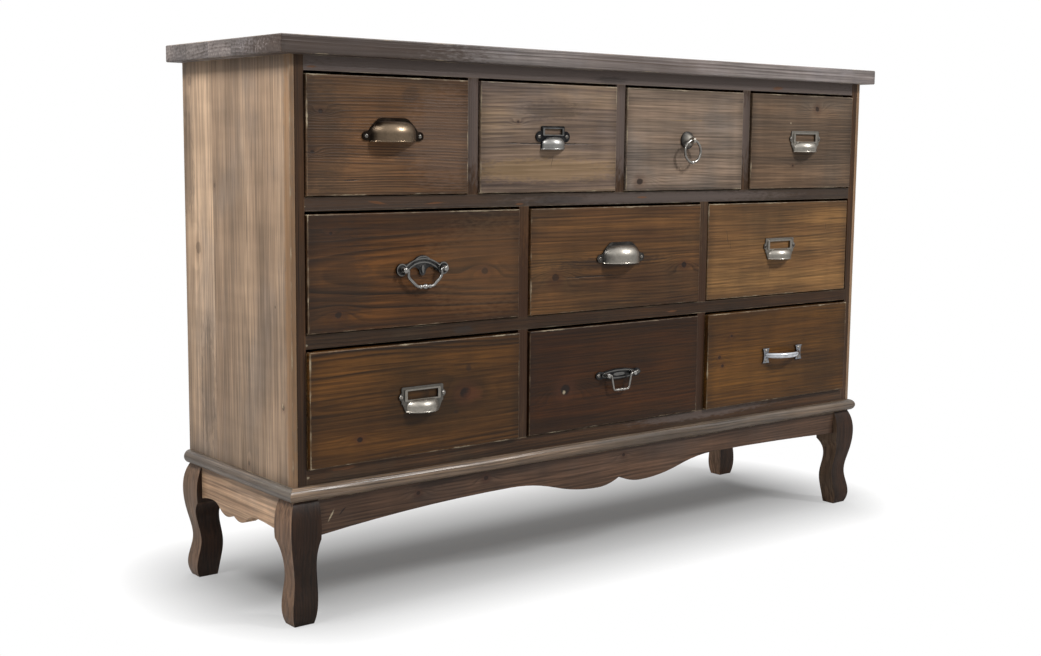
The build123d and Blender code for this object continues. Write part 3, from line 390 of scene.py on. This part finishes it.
def wood(name, order, tones, seed, pith=(0.0, 0.05), slope=0.02, spacing=0.006, rings=0.8,
         pooling=0.5, knots=(), marks=(), boards=None, wear=0.0, width=0.0012, polish=0.0,
         gleam=0.25, fibre=1.0, turned=None):
    """A waxed board's material. order names the axes along, across and through the grain; boards is
    (first edge, width) of boards glued side by side. A knot is (along, across, radius, strength)
    and a mark (kind, along, across, half height, stretch, lean), both at places on the face. turned
    is (axis, start, end, colour): a colour multiplied into the faces that look that way; on the legs'
    forward faces it is painted shade."""
    material = bpy.data.materials.new(name)
    material.use_nodes = True
    tree = material.node_tree
    tree.nodes.clear()
    spot = put(tree, "ShaderNodeTexCoord").outputs["Object"]
    axes = split(tree, spot)
    along, across, through = (axes[i] for i in order)
    face = put(tree, "ShaderNodeCombineXYZ", {0: along, 1: across, 2: through}).outputs[0]
    if boards:
        first, breadth = boards
        position = calc(tree, "DIVIDE", calc(tree, "SUBTRACT", across, first), breadth)
        index = calc(tree, "FLOOR", position)
        chance = chance_of(tree, calc(tree, "ADD", index, seed))
        along = calc(tree, "MULTIPLY_ADD", index, BOARD_SHIFT, along)
        through = calc(tree, "MULTIPLY_ADD", chance, BOARD_DEPTH, through)
    place = put(tree, "ShaderNodeCombineXYZ", {0: along, 1: across, 2: through}).outputs[0]
    bulge, cores = 0.0, []
    for spot_along, spot_across, size, *_ in knots:
        sockets = {"Place": face, "Spot": (spot_along, spot_across, size), "Seed": seed}
        made = put(tree, "ShaderNodeGroup", sockets, node_tree=knot).outputs
        bulge = calc(tree, "ADD", bulge, made["Bulge"])
        cores.append(made)
    pale, brown, dark, grey = tones
    sockets = {"Place": place, "Seed": seed, "Pith": (*pith, 0.0), "Slope": slope, "Spacing": spacing,
               "Bulge": bulge, "Pale": pale, "Brown": brown, "Dark": dark, "Grey": grey,
               "Rings": rings, "Pooling": pooling, "Fibre": fibre}
    grain = put(tree, "ShaderNodeGroup", sockets, node_tree=stained_board).outputs
    colour, gloss, height = grain["Colour"], grain["Roughness"], grain["Height"]
    for made, (*_, amount) in zip(cores, knots):
        colour = blend(tree, calc(tree, "MULTIPLY", made["Halo"], 0.45 * amount), colour, REDDENED)
        colour = blend(tree, calc(tree, "MULTIPLY", made["Core"], amount), colour, KNOT_WOOD)
        height = calc(tree, "SUBTRACT", height, calc(tree, "MULTIPLY", made["Core"], 0.6))
    for kind, spot_along, spot_across, size, stretch, lean in marks:
        sockets = {"Place": face, "Spot": (spot_along, spot_across, size), "Stretch": stretch,
                   "Lean": lean, "Ragged": MARK_FRINGE}
        mask = put(tree, "ShaderNodeGroup", sockets, node_tree=mark).outputs["Mask"]
        stain_and_painted_light, amount = MARKS[kind]
        colour = blend(tree, calc(tree, "MULTIPLY", mask, amount), colour, stain_and_painted_light)
        if kind == "crack":
            height = calc(tree, "SUBTRACT", height, calc(tree, "MULTIPLY", mask, 2.0))
    if wear:
        lowest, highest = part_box(name)
        centre = tuple((Vector(lowest) + Vector(highest)) / 2)
        half = tuple((Vector(highest) - Vector(lowest)) / 2)
        sockets = {"Place": spot, "Centre": centre, "Half": half, "Width": width, "Seed": seed}
        rubbed = put(tree, "ShaderNodeGroup", sockets, node_tree=worn_arris).outputs
        colour = blend(tree, calc(tree, "MULTIPLY", rubbed["Grime"], 0.3), colour, GRIME)
        colour = blend(tree, calc(tree, "MULTIPLY", rubbed["Edge"], 0.5 * wear), colour, THIN_STAIN)
        colour = blend(tree, calc(tree, "MULTIPLY", rubbed["Fleck"], wear), colour, CREAM)
        gloss = calc(tree, "MULTIPLY_ADD", rubbed["Fleck"], 0.2, gloss)
    # faces that look one way are multiplied by a colour; on the legs' forward faces this is painted shade
    if turned:
        axis, start, end, stain_and_painted_light = turned
        facing = split(tree, put(tree, "ShaderNodeTexCoord").outputs["Normal"])[axis]
        colour = blend(tree, ramp(tree, facing, start, end), colour, (*stain_and_painted_light, 1.0), "MULTIPLY")
    if polish:
        gloss = calc(tree, "SUBTRACT", gloss, polish)
    relief = {"Height": height, "Strength": BUMP_STRENGTH, "Distance": BUMP_DISTANCE}
    bump = put(tree, "ShaderNodeBump", relief).outputs[0]
    skin = put(tree, "ShaderNodeBsdfPrincipled", {"Base Color": colour, "Roughness": gloss, "Normal": bump})
    skin.inputs["Specular IOR Level"].default_value = gleam
    put(tree, "ShaderNodeOutputMaterial", {0: skin.outputs[0]})
    return material


def dress(node, material):
    """Gives a CAD node its finish."""
    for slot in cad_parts[node].material_slots:
        slot.material = material


ALONG_X_FLAT = (0, 1, 2)
ALONG_X_UPRIGHT = (0, 2, 1)
ALONG_Y_UPRIGHT = (1, 2, 0)
ALONG_Z_SIDE = (2, 1, 0)
ALONG_Z_FRONT = (2, 0, 1)
ALONG_Y_FLAT = (1, 0, 2)

# painted sheen: the tones are greyed by the grazing light on the front edge; the faces that look up are
# multiplied darker and browner
TOP_TONES_WITH_PAINTED_SHEEN = tone(161, 150, 145), tone(135, 127, 123), tone(76, 65, 61), tone(150, 145, 148)
TOP_BOARDS = 5
low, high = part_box("top_board")
TOP_KNOTS = [(0.22, -0.09, 0.008, 0.8), (-0.35, 0.05, 0.01, 0.8), (0.46, 0.11, 0.009, 0.8)]
TOP_MARKS = [
    ("walnut", -0.5, low[1], 0.14, 1.9, 0),
    ("smoke", -0.61, 0.02, 0.26, 0.1, 0),
    # painted sheen: a lighter patch at the middle of the front edge
    ("dust_and_painted_sheen", 0.05, low[1], 0.1, 2.2, 0),
]
TOP_SEEN_FROM_ABOVE = (2, 0.5, 0.9, (0.66, 0.53, 0.44))
dress("top_board", wood(
    "top_board", ALONG_X_FLAT, TOP_TONES_WITH_PAINTED_SHEEN, 2.0, pith=(0.0, -0.02), slope=0.006, spacing=0.005,
    boards=(low[1], (high[1] - low[1]) / TOP_BOARDS), wear=0.5, width=0.001, pooling=0.7,
    gleam=0.35, turned=TOP_SEEN_FROM_ABOVE, knots=TOP_KNOTS, marks=TOP_MARKS,
))


# The side panels. Two upright pine boards each, glued along a seam, stained thinner than the front
# so that they stay tan and grey, with small knots, nicks and two darker cloudy places.
SIDE_TONES = tone(171, 145, 120), tone(147, 123, 101), tone(99, 82, 66), tone(123, 112, 103)
SIDE_BOARD = 0.218
SIDE_KNOTS = [
    (0.297, -0.119, 0.003, 0.6),
    (0.204, -0.021, 0.003, 0.5),
    (0.735, 0.143, 0.006, 0.3),
    (0.497, 0.124, 0.008, 0.4),
    (0.588, 0.07, 0.003, 0.3),
]
SIDE_MARKS = [
    ("cream", 0.3, -0.117, 0.0018, 2.5, 0.2),
    ("umber", 0.431, -0.1, 0.0018, 1.5, 0),
    ("smoke", 0.3, 0.1, 0.03, 4, 0),
    ("smoke", 0.62, 0.15, 0.02, 5, 0),
]
EDGE_STRIP = 0.006       # middle of the paler strip beside the panel's front edge
for name, seed in (("left_side_panel", 11.0), ("right_side_panel", 17.5)):
    low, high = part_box(name)
    strip = ("amber", 0.47, low[1] + EDGE_STRIP, 0.012, 45, 0)
    dress(name, wood(
        name, ALONG_Z_SIDE, SIDE_TONES, seed, pith=(0.01, -0.7), slope=0.012, spacing=0.011,
        rings=0.4, pooling=0.5, wear=0.5, fibre=0.75, boards=(low[1], SIDE_BOARD),
        knots=SIDE_KNOTS, marks=[strip, *SIDE_MARKS],
    ))


# The back. Seven upright boards of bare pine, nailed on behind and never stained.
BARE_TONES = tone(196, 164, 122), tone(180, 146, 104), tone(138, 102, 66), tone(150, 128, 100)
low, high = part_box("back_panel")
BACK_BOARDS = 7
dress("back_panel", wood(
    "back_panel", ALONG_Z_FRONT, BARE_TONES, 23.0, pith=(0.0, -0.05), spacing=0.007, rings=0.6,
    boards=(low[0], (high[0] - low[0]) / BACK_BOARDS), pooling=0.3, wear=0.2,
    knots=[(0.4, -0.3, 0.009, 0.8), (0.62, 0.12, 0.011, 0.8), (0.3, 0.41, 0.008, 0.8)],
))


# The inner carcass. Bare pine shelves, guides, kickers, the bottom and the base's rear members.
for name, order, seed in (
    ("bottom_board", ALONG_X_FLAT, 31.0), ("shelves", ALONG_X_FLAT, 33.0),
    ("drawer_guides", ALONG_Y_FLAT, 35.0), ("kickers", ALONG_Y_FLAT, 37.0),
    ("rear_base_rail", ALONG_X_UPRIGHT, 39.0), ("corner_braces", ALONG_X_FLAT, 41.0),
):
    dress(name, wood(name, order, BARE_TONES, seed, pith=(0.0, -0.04), rings=0.6, pooling=0.25, wear=0.15))


# The face frame. Dark stained stiles, rails and muntins, jointed flush and scuffed by the drawers,
# with the stain rubbed to orange and cream in places; the top and upper rails and the top row's muntins
# carry painted sheen, lighter and greyer.
FRAME_TONES = tone(79, 52, 30), tone(62, 41, 23), tone(30, 19, 10), tone(72, 57, 42)
# the haze over the whole top rail and the veil over the upper rail are painted sheen
RAIL_MARKS = {
    "top_rail": [*3 * [("haze_and_painted_sheen", 0.0, 0.75, 1.0, 1.0, 0)], ("orange", -0.545, 0.747, 0.002, 6, 0),
                 ("orange", 0.36, 0.748, 0.004, 4, 0), ("grey", -0.02, 0.748, 0.007, 6, 0)],
    "upper_rail": [("painted_sheen_veil", 0.0, 0.568, 1.0, 1.0, 0), ("haze_and_painted_sheen", 0.1, 0.568, 0.012, 30, 0),
                   ("orange", -0.444, 0.569, 0.0022, 8, -0.15),
                   ("orange", -0.349, 0.567, 0.0018, 11, 0.05), ("orange", -0.197, 0.563, 0.002, 5, 0),
                   ("orange", 0.05, 0.569, 0.002, 7, 0), ("cream", -0.559, 0.566, 0.002, 1.5, 0),
                   ("grey", -0.12, 0.568, 0.007, 9, 0)],
    "lower_rail": [("cream", -0.557, 0.382, 0.0018, 1.5, 0), ("grey", -0.3, 0.385, 0.006, 4, 0),
                   ("orange", 0.12, 0.384, 0.0018, 8, 0)],
    "bottom_rail": [("orange", -0.5, 0.209, 0.0028, 11, 0), ("cream", -0.557, 0.203, 0.002, 1.6, 0),
                    ("haze_and_painted_sheen", 0.2, 0.208, 0.01, 20, 0)],
}
RAILS = (("top_rail", 51.0), ("upper_rail", 53.0), ("lower_rail", 55.0), ("bottom_rail", 57.0))
for name, seed in RAILS:
    dress(name, wood(
        name, ALONG_X_UPRIGHT, FRAME_TONES, seed, pith=(0.3, -0.1), spacing=0.004, slope=0.004,
        rings=0.6, pooling=0.7, wear=0.35, width=0.0007, polish=0.08, marks=RAIL_MARKS[name],
    ))
# the haze over the top row's muntins is painted sheen
MUNTIN_MARKS = [("haze_and_painted_sheen", 0.68, -0.1, 1.0, 0.1, 0), *2 * [("chestnut", 0.37, 0.0, 1.0, 0.19, 0)]]
for name, seed, marks in (("stiles", 61.0, []), ("muntins", 63.0, MUNTIN_MARKS)):
    dress(name, wood(
        name, ALONG_Z_FRONT, FRAME_TONES, seed, pith=(0.3, -0.1), spacing=0.004, slope=0.004,
        rings=0.6, pooling=0.6, wear=0.3, width=0.0007, polish=0.08, marks=marks,
    ))


# The drawers. Each front is one thick pine board with the grain across, stained from a different
# pot, its arrises rubbed to bare cream wood; the box behind is bare pine.
FRONTS = {
    1: dict(
        tones=(tone(123, 87, 56), tone(96, 66, 40), tone(54, 36, 22), tone(83, 68, 51)),
        seed=71.0, pith=(0.62, -0.16),
        spacing=0.0038, slope=0.02, rings=0.75,
        knots=[(-0.535, 0.69, 0.003, 0.8), (-0.548, 0.637, 0.0025, 0.8)],
        marks=[("smoke", -0.55, 0.655, 0.1, 0.8, 0), ("dust_and_painted_sheen", -0.33, 0.655, 0.09, 1.0, 0),
               ("smoke", -0.392, 0.716, 0.016, 1.2, 0), ("smoke", -0.4, 0.63, 0.012, 2.0, 0),
               ("crack", -0.49, 0.6, 0.0012, 14, 0.02)],
    ),
    2: dict(
        tones=(tone(155, 130, 104), tone(124, 104, 89), tone(71, 56, 53), tone(110, 104, 104)),
        seed=83.0, pith=(0.5, 0.0),
        spacing=0.0042, rings=0.6,
        knots=[(-0.205, 0.682, 0.002, 0.7)],
        marks=[("gold", -0.15, 0.612, 0.022, 9, 0), ("smoke", -0.14, 0.7, 0.018, 4, 0),
               ("crack", -0.15, 0.651, 0.0016, 60, 0),
               ("crack", -0.14, 0.625, 0.002, 1.6, 4.0)],
    ),
    3: dict(
        tones=(tone(147, 124, 104), tone(123, 106, 91), tone(79, 66, 58), tone(115, 109, 104)),
        seed=91.0, pith=(0.9, 0.0),
        spacing=0.0045, rings=0.45,
        knots=[(0.04, 0.594, 0.0055, 0.85)],
        marks=[("pale", 0.14, 0.69, 0.0012, 40, 0.01)],
    ),
    4: dict(
        tones=(tone(113, 89, 68), tone(91, 74, 59), tone(53, 43, 35), tone(85, 78, 70)),
        seed=103.0, pith=(0.2, 0.0),
        spacing=0.0045, rings=0.45,
        knots=[(0.46, 0.715, 0.0045, 0.8), (0.4, 0.618, 0.002, 0.8)],
        marks=[("cream", 0.392, 0.69, 0.002, 1.0, 0)],
    ),
    5: dict(
        tones=(tone(95, 59, 25), tone(65, 39, 17), tone(28, 17, 6), tone(55, 41, 23)),
        seed=111.0, pith=(0.472, -0.158),
        spacing=0.0075, slope=0.09, rings=0.9,
        knots=[(-0.264, 0.468, 0.005, 0.9), (-0.521, 0.53, 0.0025, 0.8), (-0.51, 0.42, 0.0045, 0.8)],
        marks=[("smoke", -0.54, 0.476, 0.12, 0.9, 0), ("honey", -0.26, 0.476, 0.09, 1.6, 0)],
    ),
    6: dict(
        tones=(tone(115, 79, 42), tone(81, 53, 30), tone(40, 25, 13), tone(71, 57, 38)),
        seed=121.0, pith=(0.8, 0.0),
        spacing=0.005, rings=0.6,
        knots=[(0.142, 0.459, 0.005, 0.9), (-0.13, 0.452, 0.006, 0.7)],
        marks=[("umber", -0.02, 0.47, 0.012, 12, 0.02), ("crack", -0.06, 0.45, 0.0016, 40, 0)],
    ),
    7: dict(
        tones=(tone(139, 102, 60), tone(113, 80, 47), tone(62, 43, 23), tone(89, 70, 48)),
        seed=133.0, pith=(0.1, 0.0),
        spacing=0.005, rings=0.5, knots=[],
        marks=[("crack", 0.246, 0.5, 0.003, 1.0, -5.0), ("crack", 0.254, 0.485, 0.0025, 0.8, -6.0),
               ("crack", 0.352, 0.44, 0.002, 1.4, 5.0), ("crack", 0.498, 0.51, 0.0018, 1.4, -4.0)],
    ),
    8: dict(
        tones=(tone(99, 63, 24), tone(69, 43, 16), tone(32, 19, 5), tone(49, 35, 15)),
        seed=141.0, pith=(0.293, -0.192),
        spacing=0.0075, slope=0.09, rings=0.9,
        knots=[(-0.3, 0.294, 0.0085, 0.95), (-0.479, 0.247, 0.004, 0.9)],
        marks=[("red", -0.285, 0.29, 0.012, 1.8, 0), ("umber", -0.294, 0.33, 0.008, 0.8, 0),
               ("umber", -0.316, 0.268, 0.0035, 1.5, 0)],
    ),
    9: dict(
        tones=(tone(67, 35, 8), tone(50, 27, 5), tone(27, 12, 2), tone(44, 27, 7)),
        seed=153.0, pith=(0.7, 0.0),
        spacing=0.005, rings=0.5,
        knots=[(-0.108, 0.279, 0.0085, 0.95)], marks=[("cream", -0.11, 0.275, 0.004, 1.0, 0)],
    ),
    10: dict(
        tones=(tone(103, 67, 23), tone(80, 50, 17), tone(43, 25, 7), tone(57, 38, 14)),
        seed=163.0, pith=(0.6, 0.0),
        spacing=0.005, rings=0.5,
        knots=[(0.256, 0.334, 0.0025, 0.8), (0.228, 0.3, 0.003, 0.8), (0.236, 0.285, 0.003, 0.8)],
        marks=[("crack", 0.23, 0.257, 0.0015, 1.2, 6.0)],
    ),
}
BOX_SEED_STEP = 3.7
for number, front in FRONTS.items():
    name = f"drawer_{number:02d}_front"
    dress(name, wood(name, ALONG_X_UPRIGHT, wear=0.7, width=0.0014, pooling=0.55, **front))
    box_name = f"drawer_{number:02d}_box"
    dress(box_name, wood(
        box_name, ALONG_X_FLAT, BARE_TONES, BOX_SEED_STEP * number, pith=(0.0, -0.03), rings=0.5,
        pooling=0.2, wear=0.15,
    ))


# The moulding. A bullnose strip mitred round the front and sides under the case, stained grey
# brown and polished by hand; the front strip is painted lighter, a painted highlight along its nose.
MOULDING_TONES = tone(114, 98, 84), tone(90, 78, 66), tone(48, 42, 37), tone(99, 96, 90)
# painted highlight: the front strip's tones are lighter than the sides', for the light along its nose
FRONT_MOULDING_TONES_WITH_PAINTED_HIGHLIGHT = tone(128, 106, 86), tone(100, 84, 68), tone(54, 45, 37), tone(110, 101, 92)
for name, order, tones, seed in (
    ("front_moulding", ALONG_X_UPRIGHT, FRONT_MOULDING_TONES_WITH_PAINTED_HIGHLIGHT, 171.0),
    ("left_moulding", ALONG_Y_UPRIGHT, MOULDING_TONES, 173.0),
    ("right_moulding", ALONG_Y_UPRIGHT, MOULDING_TONES, 175.0),
):
    dress(name, wood(
        name, order, tones, seed, pith=(0.25, -0.1), spacing=0.004, rings=0.6, pooling=0.6,
        polish=0.14, gleam=0.5,
    ))


# The base. Scalloped aprons between four cabriole legs, reddish brown, with small knots; the
# faces of the legs that look forward are painted darker: painted shade, as the light comes from the left.
APRON_TONES = tone(98, 73, 56), tone(73, 53, 40), tone(40, 29, 23), tone(70, 61, 56)
SIDE_APRON_TONES = tone(203, 168, 136), tone(166, 134, 106), tone(102, 81, 67), tone(146, 132, 120)
APRON_KNOTS = [(-0.377, 0.156, 0.003, 0.8), (-0.256, 0.161, 0.0035, 0.8), (0.02, 0.16, 0.003, 0.8)]
APRON_MARKS = [("cream", -0.521, 0.146, 0.003, 2.0, 1.5), ("crack", -0.503, 0.15, 0.002, 3.0, 0.8),
               ("umber", -0.35, 0.166, 0.006, 9, 0)]
for name, order, tones, seed, knots, marks in (
    ("front_apron", ALONG_X_UPRIGHT, APRON_TONES, 181.0, APRON_KNOTS, APRON_MARKS),
    ("rear_apron", ALONG_X_UPRIGHT, APRON_TONES, 183.0, [], []),
    ("left_apron", ALONG_Y_UPRIGHT, SIDE_APRON_TONES, 185.0, [], []),
    ("right_apron", ALONG_Y_UPRIGHT, SIDE_APRON_TONES, 187.0, [], []),
):
    dress(name, wood(
        name, order, tones, seed, pith=(0.3, -0.08), spacing=0.005, rings=0.6, pooling=0.5,
        wear=0.4, knots=knots, marks=marks,
    ))
LEG_TONES = tone(132, 102, 80), tone(101, 79, 61), tone(56, 43, 33), tone(101, 91, 80)
# painted shade: the legs' forward faces are multiplied much darker, as the light comes from the left
LEG_FRONT_PAINTED_SHADE = (1, -0.25, -0.85, (0.14, 0.1, 0.07))
LEGS = (("front_left_leg", 191.0), ("front_right_leg", 193.0),
        ("rear_left_leg", 195.0), ("rear_right_leg", 197.0))
for name, seed in LEGS:
    dress(name, wood(
        name, ALONG_Z_FRONT, LEG_TONES, seed, pith=(0.0, -0.3), spacing=0.004, rings=0.6,
        pooling=0.5, turned=LEG_FRONT_PAINTED_SHADE,
    ))


# The pulls. Seven patterns of cast metal, each screwed to its drawer: dark in the hollows, rubbed
# bright where fingers reach.
TARNISH = (90.0, 90.0, 90.0)
GRIT = (700.0, 700.0, 700.0)
cast_patina, given, result = group(
    "cast_patina", {"Place": "v", "Seed": "f", "Wall": "f", "Reach": "f"},
    {"Rubbed": "f", "Tarnish": "f", "Grit": "f"},
)
tree = cast_patina
out = split(tree, given["Place"])[1]
proud = calc(tree, "DIVIDE", calc(tree, "SUBTRACT", given["Wall"], out), given["Reach"])
cloud = noise(tree, given["Place"], TARNISH, given["Seed"], 4.0, 0.65)
speck = noise(tree, given["Place"], GRIT, given["Seed"], 3.0, 0.6)
touched = calc(tree, "MULTIPLY_ADD", cloud, 0.8, calc(tree, "SUBTRACT", proud, 0.4))
tree.links.new(ramp(tree, touched, 0.2, 0.95), result.inputs["Rubbed"])
tree.links.new(ramp(tree, cloud, 0.4, 0.7), result.inputs["Tarnish"])
tree.links.new(speck, result.inputs["Grit"])


def metal(name, dark, bright, seed, wall, reach, roughness=0.34, spread=0.16):
    """A cast pull's material: dark in the hollows and bright where it is rubbed. wall is the plane
    that it stands on and reach is how far it stands out."""
    material = bpy.data.materials.new(name)
    material.use_nodes = True
    tree = material.node_tree
    tree.nodes.clear()
    spot = put(tree, "ShaderNodeTexCoord").outputs["Object"]
    sockets = {"Place": spot, "Seed": seed, "Wall": wall, "Reach": reach}
    made = put(tree, "ShaderNodeGroup", sockets, node_tree=cast_patina).outputs
    colour = blend(tree, made["Rubbed"], dark, bright)
    colour = blend(tree, calc(tree, "MULTIPLY", made["Tarnish"], 0.4), colour, dark)
    dulled = calc(tree, "MULTIPLY_ADD", made["Tarnish"], spread, roughness)
    gloss = calc(tree, "ADD", dulled, calc(tree, "MULTIPLY_ADD", made["Grit"], 0.1, -0.05))
    relief = {"Height": made["Grit"], "Strength": 0.15, "Distance": 0.0003}
    bump = put(tree, "ShaderNodeBump", relief).outputs[0]
    skin = put(tree, "ShaderNodeBsdfPrincipled", {"Base Color": colour, "Roughness": gloss,
                                                  "Normal": bump, "Metallic": 1.0})
    put(tree, "ShaderNodeOutputMaterial", {0: skin.outputs[0]})
    return material


# each finish is its dark tone, then its rubbed tone
BRONZE = tone(38, 31, 26), tone(136, 118, 98)
PEWTER = tone(64, 62, 60), tone(176, 170, 160)
STEEL = tone(66, 64, 62), tone(168, 164, 158)
CHROME = tone(112, 115, 120), tone(226, 229, 234)
WROUGHT = tone(38, 38, 40), tone(168, 166, 162)
# each pull's finish, how far behind the drawer's front its wall lies, and its reach
PULL_FINISH = {
    1: (BRONZE, 0.004, 0.024),
    2: (WROUGHT, -0.0008, 0.0045),
    3: (PEWTER, 0.0, 0.012),
    4: (PEWTER, 0.001, 0.0045),
    5: (WROUGHT, -0.001, 0.0045),
    6: (PEWTER, 0.005, 0.024),
    7: (PEWTER, 0.001, 0.0045),
    8: (PEWTER, 0.0, 0.0045),
    9: (WROUGHT, -0.0008, 0.0045),
    10: (CHROME, 0.008, 0.025),
}
for number, ((dark, bright), behind, depth) in PULL_FINISH.items():
    name = f"drawer_{number:02d}_pull"
    gloss, spread = (0.1, 0.06) if number == 10 else (0.32, 0.16)
    dress(name, metal(name, dark, bright, number * 1.3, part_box(name)[1][1] + behind, depth, gloss, spread))
for name, finish in (("drawer_03_ring", STEEL), ("drawer_05_bail", WROUGHT), ("drawer_09_bail", STEEL)):
    low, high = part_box(name)
    dress(name, metal(name, *finish, 5.0, high[1], high[1] - low[1], 0.26))


# The screws. Domed steel heads, each with one slot, that hold the pulls to their drawers through
# the ears of the plates.
SCREW_RADIUS = 0.0029
SCREW_PROUD = 0.0014
SLOT_WIDTH = 0.0008
SLOT_DEPTH = 0.0006
HEAD_SIDES = 20
HEAD_TAPER = 0.8
DOME = 0.45              # how much of the head's height is rounded
TOP_LEVEL = 0.9          # faces past this share of the height are the top
SLOT_TURN = (25, 50, 37)
# where each pull's screws stand, from the pull's middle
SCREW_PLACES = {
    1: [(-0.0433, 0.0), (0.0433, 0.0)],
    6: [(-0.0433, 0.0), (0.0433, 0.0)],
    4: [(-0.0362, 0.005), (0.0362, 0.005)],
    7: [(-0.0362, 0.005), (0.0362, 0.005)],
    8: [(-0.0362, 0.005), (0.0362, 0.005)],
    2: [(-0.0265, 0.0025), (0.0265, 0.0025)],
    9: [(-0.042, 0.0), (0.042, 0.0)],
    10: [(-0.042, 0.0086), (0.042, 0.0086), (-0.042, -0.0086), (0.042, -0.0086)],
}
# how thick the plate under the screws is
PLATE = {1: 0.002, 2: 0.002, 4: 0.002, 6: 0.002, 7: 0.002, 8: 0.002, 9: 0.0022, 10: 0.003}
# middle of each pull on its drawer's front, across and up
PULL_MIDDLE = {1: (-0.42225, 0.65875), 2: (-0.13975, 0.65875), 4: (0.42825, 0.65875), 6: (0.0015, 0.47625),
               7: (0.375, 0.47625), 8: (-0.376, 0.29375), 9: (0.0005, 0.29375), 10: (0.383, 0.29375)}
screw_steel = metal("screw_steel", tone(84, 80, 76), tone(190, 184, 176), 3.0, -0.14, 0.02, 0.3)


def top_faces(heads, middle, seat, reach):
    """The flat faces on top of the screw head that stands at middle."""
    tops = []
    for face in heads.faces:
        at = face.calc_center_median()
        if face.normal.y < -0.99 and at.y < seat - TOP_LEVEL * SCREW_PROUD and (at - middle).length < reach:
            tops.append(face)
    return tops


for number, places in SCREW_PLACES.items():
    name = f"drawer_{number:02d}_pull"
    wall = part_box(name)[1][1]
    seat = wall - PLATE[number]
    heads = bmesh.new()
    for count, (aside, above) in enumerate(places):
        across_from, up_from = PULL_MIDDLE[number]
        middle = Vector((across_from + aside, seat - SCREW_PROUD / 2, up_from + above))
        stand = Matrix.Translation(middle) @ Matrix.Rotation(math.radians(90), 4, "X")
        head = bmesh.ops.create_cone(
            heads, cap_ends=True, segments=HEAD_SIDES, radius1=SCREW_RADIUS,
            radius2=HEAD_TAPER * SCREW_RADIUS, depth=SCREW_PROUD, matrix=stand,
        )["verts"]
        crown = [vert for vert in head if vert.co.y < seat - TOP_LEVEL * SCREW_PROUD]
        rim = [edge for edge in heads.edges if edge.verts[0] in crown and edge.verts[1] in crown]
        bmesh.ops.bevel(heads, geom=rim, offset=DOME * SCREW_PROUD, segments=3, profile=0.5,
                        affect="EDGES", material=-1)
        turned = math.radians(SLOT_TURN[0] + SLOT_TURN[1] * count + SLOT_TURN[2] * number)
        across = Vector((math.cos(turned), 0.0, math.sin(turned)))
        for side in (-1, 1):
            flat = top_faces(heads, middle, seat, 2 * SCREW_RADIUS)
            parts = set(flat) | {e for f in flat for e in f.edges} | {v for f in flat for v in f.verts}
            bmesh.ops.bisect_plane(heads, geom=list(parts), dist=1e-7, plane_no=across,
                                   plane_co=middle + across * side * SLOT_WIDTH / 2)
        strip = [face for face in top_faces(heads, middle, seat, SCREW_RADIUS)
                 if abs((face.calc_center_median() - middle).dot(across)) < SLOT_WIDTH / 4]
        lowered = bmesh.ops.extrude_face_region(heads, geom=strip)["geom"]
        bmesh.ops.delete(heads, geom=strip, context="FACES")
        sunk = [part for part in lowered if isinstance(part, bmesh.types.BMVert)]
        bmesh.ops.translate(heads, verts=sunk, vec=(0.0, SLOT_DEPTH, 0.0))
    bmesh.ops.recalc_face_normals(heads, faces=heads.faces)
    screws = new_object(f"drawer_{number:02d}_screws", heads, 35)
    screws.data.materials.append(screw_steel)
    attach(screws, f"drawer_{number:02d}")


# The rolled lips. Each cast cup ends below in a thin rolled edge that takes the most rubbing, so
# it is the brightest line on the pull.
LIP_RADIUS = 0.001
LIP_SIDES = 12
LIP_STEPS = 32
LIP_SPAN = 0.97          # share of the cup's bow that the lip covers
LIP_PROUD = 0.4          # how much of its radius stands inside the cup's edge
# half the cup's width, its reach and how far its edge lies below the pull's middle
CUPS = {
    1: (0.0375, 0.024, -0.008),
    6: (0.0375, 0.024, -0.008),
    4: (0.0285, 0.018, -0.0175),
    7: (0.0285, 0.018, -0.0175),
    8: (0.0285, 0.018, -0.0175),
    2: (0.0225, 0.015, -0.0165),
}
for number, (half, reach, drop) in CUPS.items():
    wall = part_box(f"drawer_{number:02d}_pull")[1][1]
    bow = (half * half + reach * reach) / (2 * reach)
    opened = math.asin(half / bow)
    centre = Vector((PULL_MIDDLE[number][0], wall - reach + bow, PULL_MIDDLE[number][1] + drop + LIP_RADIUS))
    lip = bmesh.new()
    spot = centre + Vector((0.0, -bow + LIP_PROUD * LIP_RADIUS, 0.0))
    stand = Matrix.Translation(spot) @ Matrix.Rotation(math.radians(90), 4, "Y")
    ring = bmesh.ops.create_circle(
        lip, segments=LIP_SIDES, radius=LIP_RADIUS, cap_ends=True, matrix=stand,
    )["verts"]
    bmesh.ops.rotate(lip, cent=centre, matrix=Matrix.Rotation(-LIP_SPAN * opened, 3, "Z"), verts=ring)
    bmesh.ops.spin(lip, geom=lip.verts[:] + lip.edges[:] + lip.faces[:], cent=centre,
                   axis=(0.0, 0.0, 1.0), angle=2 * LIP_SPAN * opened, steps=LIP_STEPS, use_duplicate=False)
    bmesh.ops.recalc_face_normals(lip, faces=lip.faces)
    rolled = new_object(f"drawer_{number:02d}_lip", lip, 40)
    finish = PULL_FINISH[number][0]
    rolled.data.materials.append(metal(f"lip_{number}", *finish, number * 2.1, wall + reach, reach, 0.24))
    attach(rolled, f"drawer_{number:02d}")
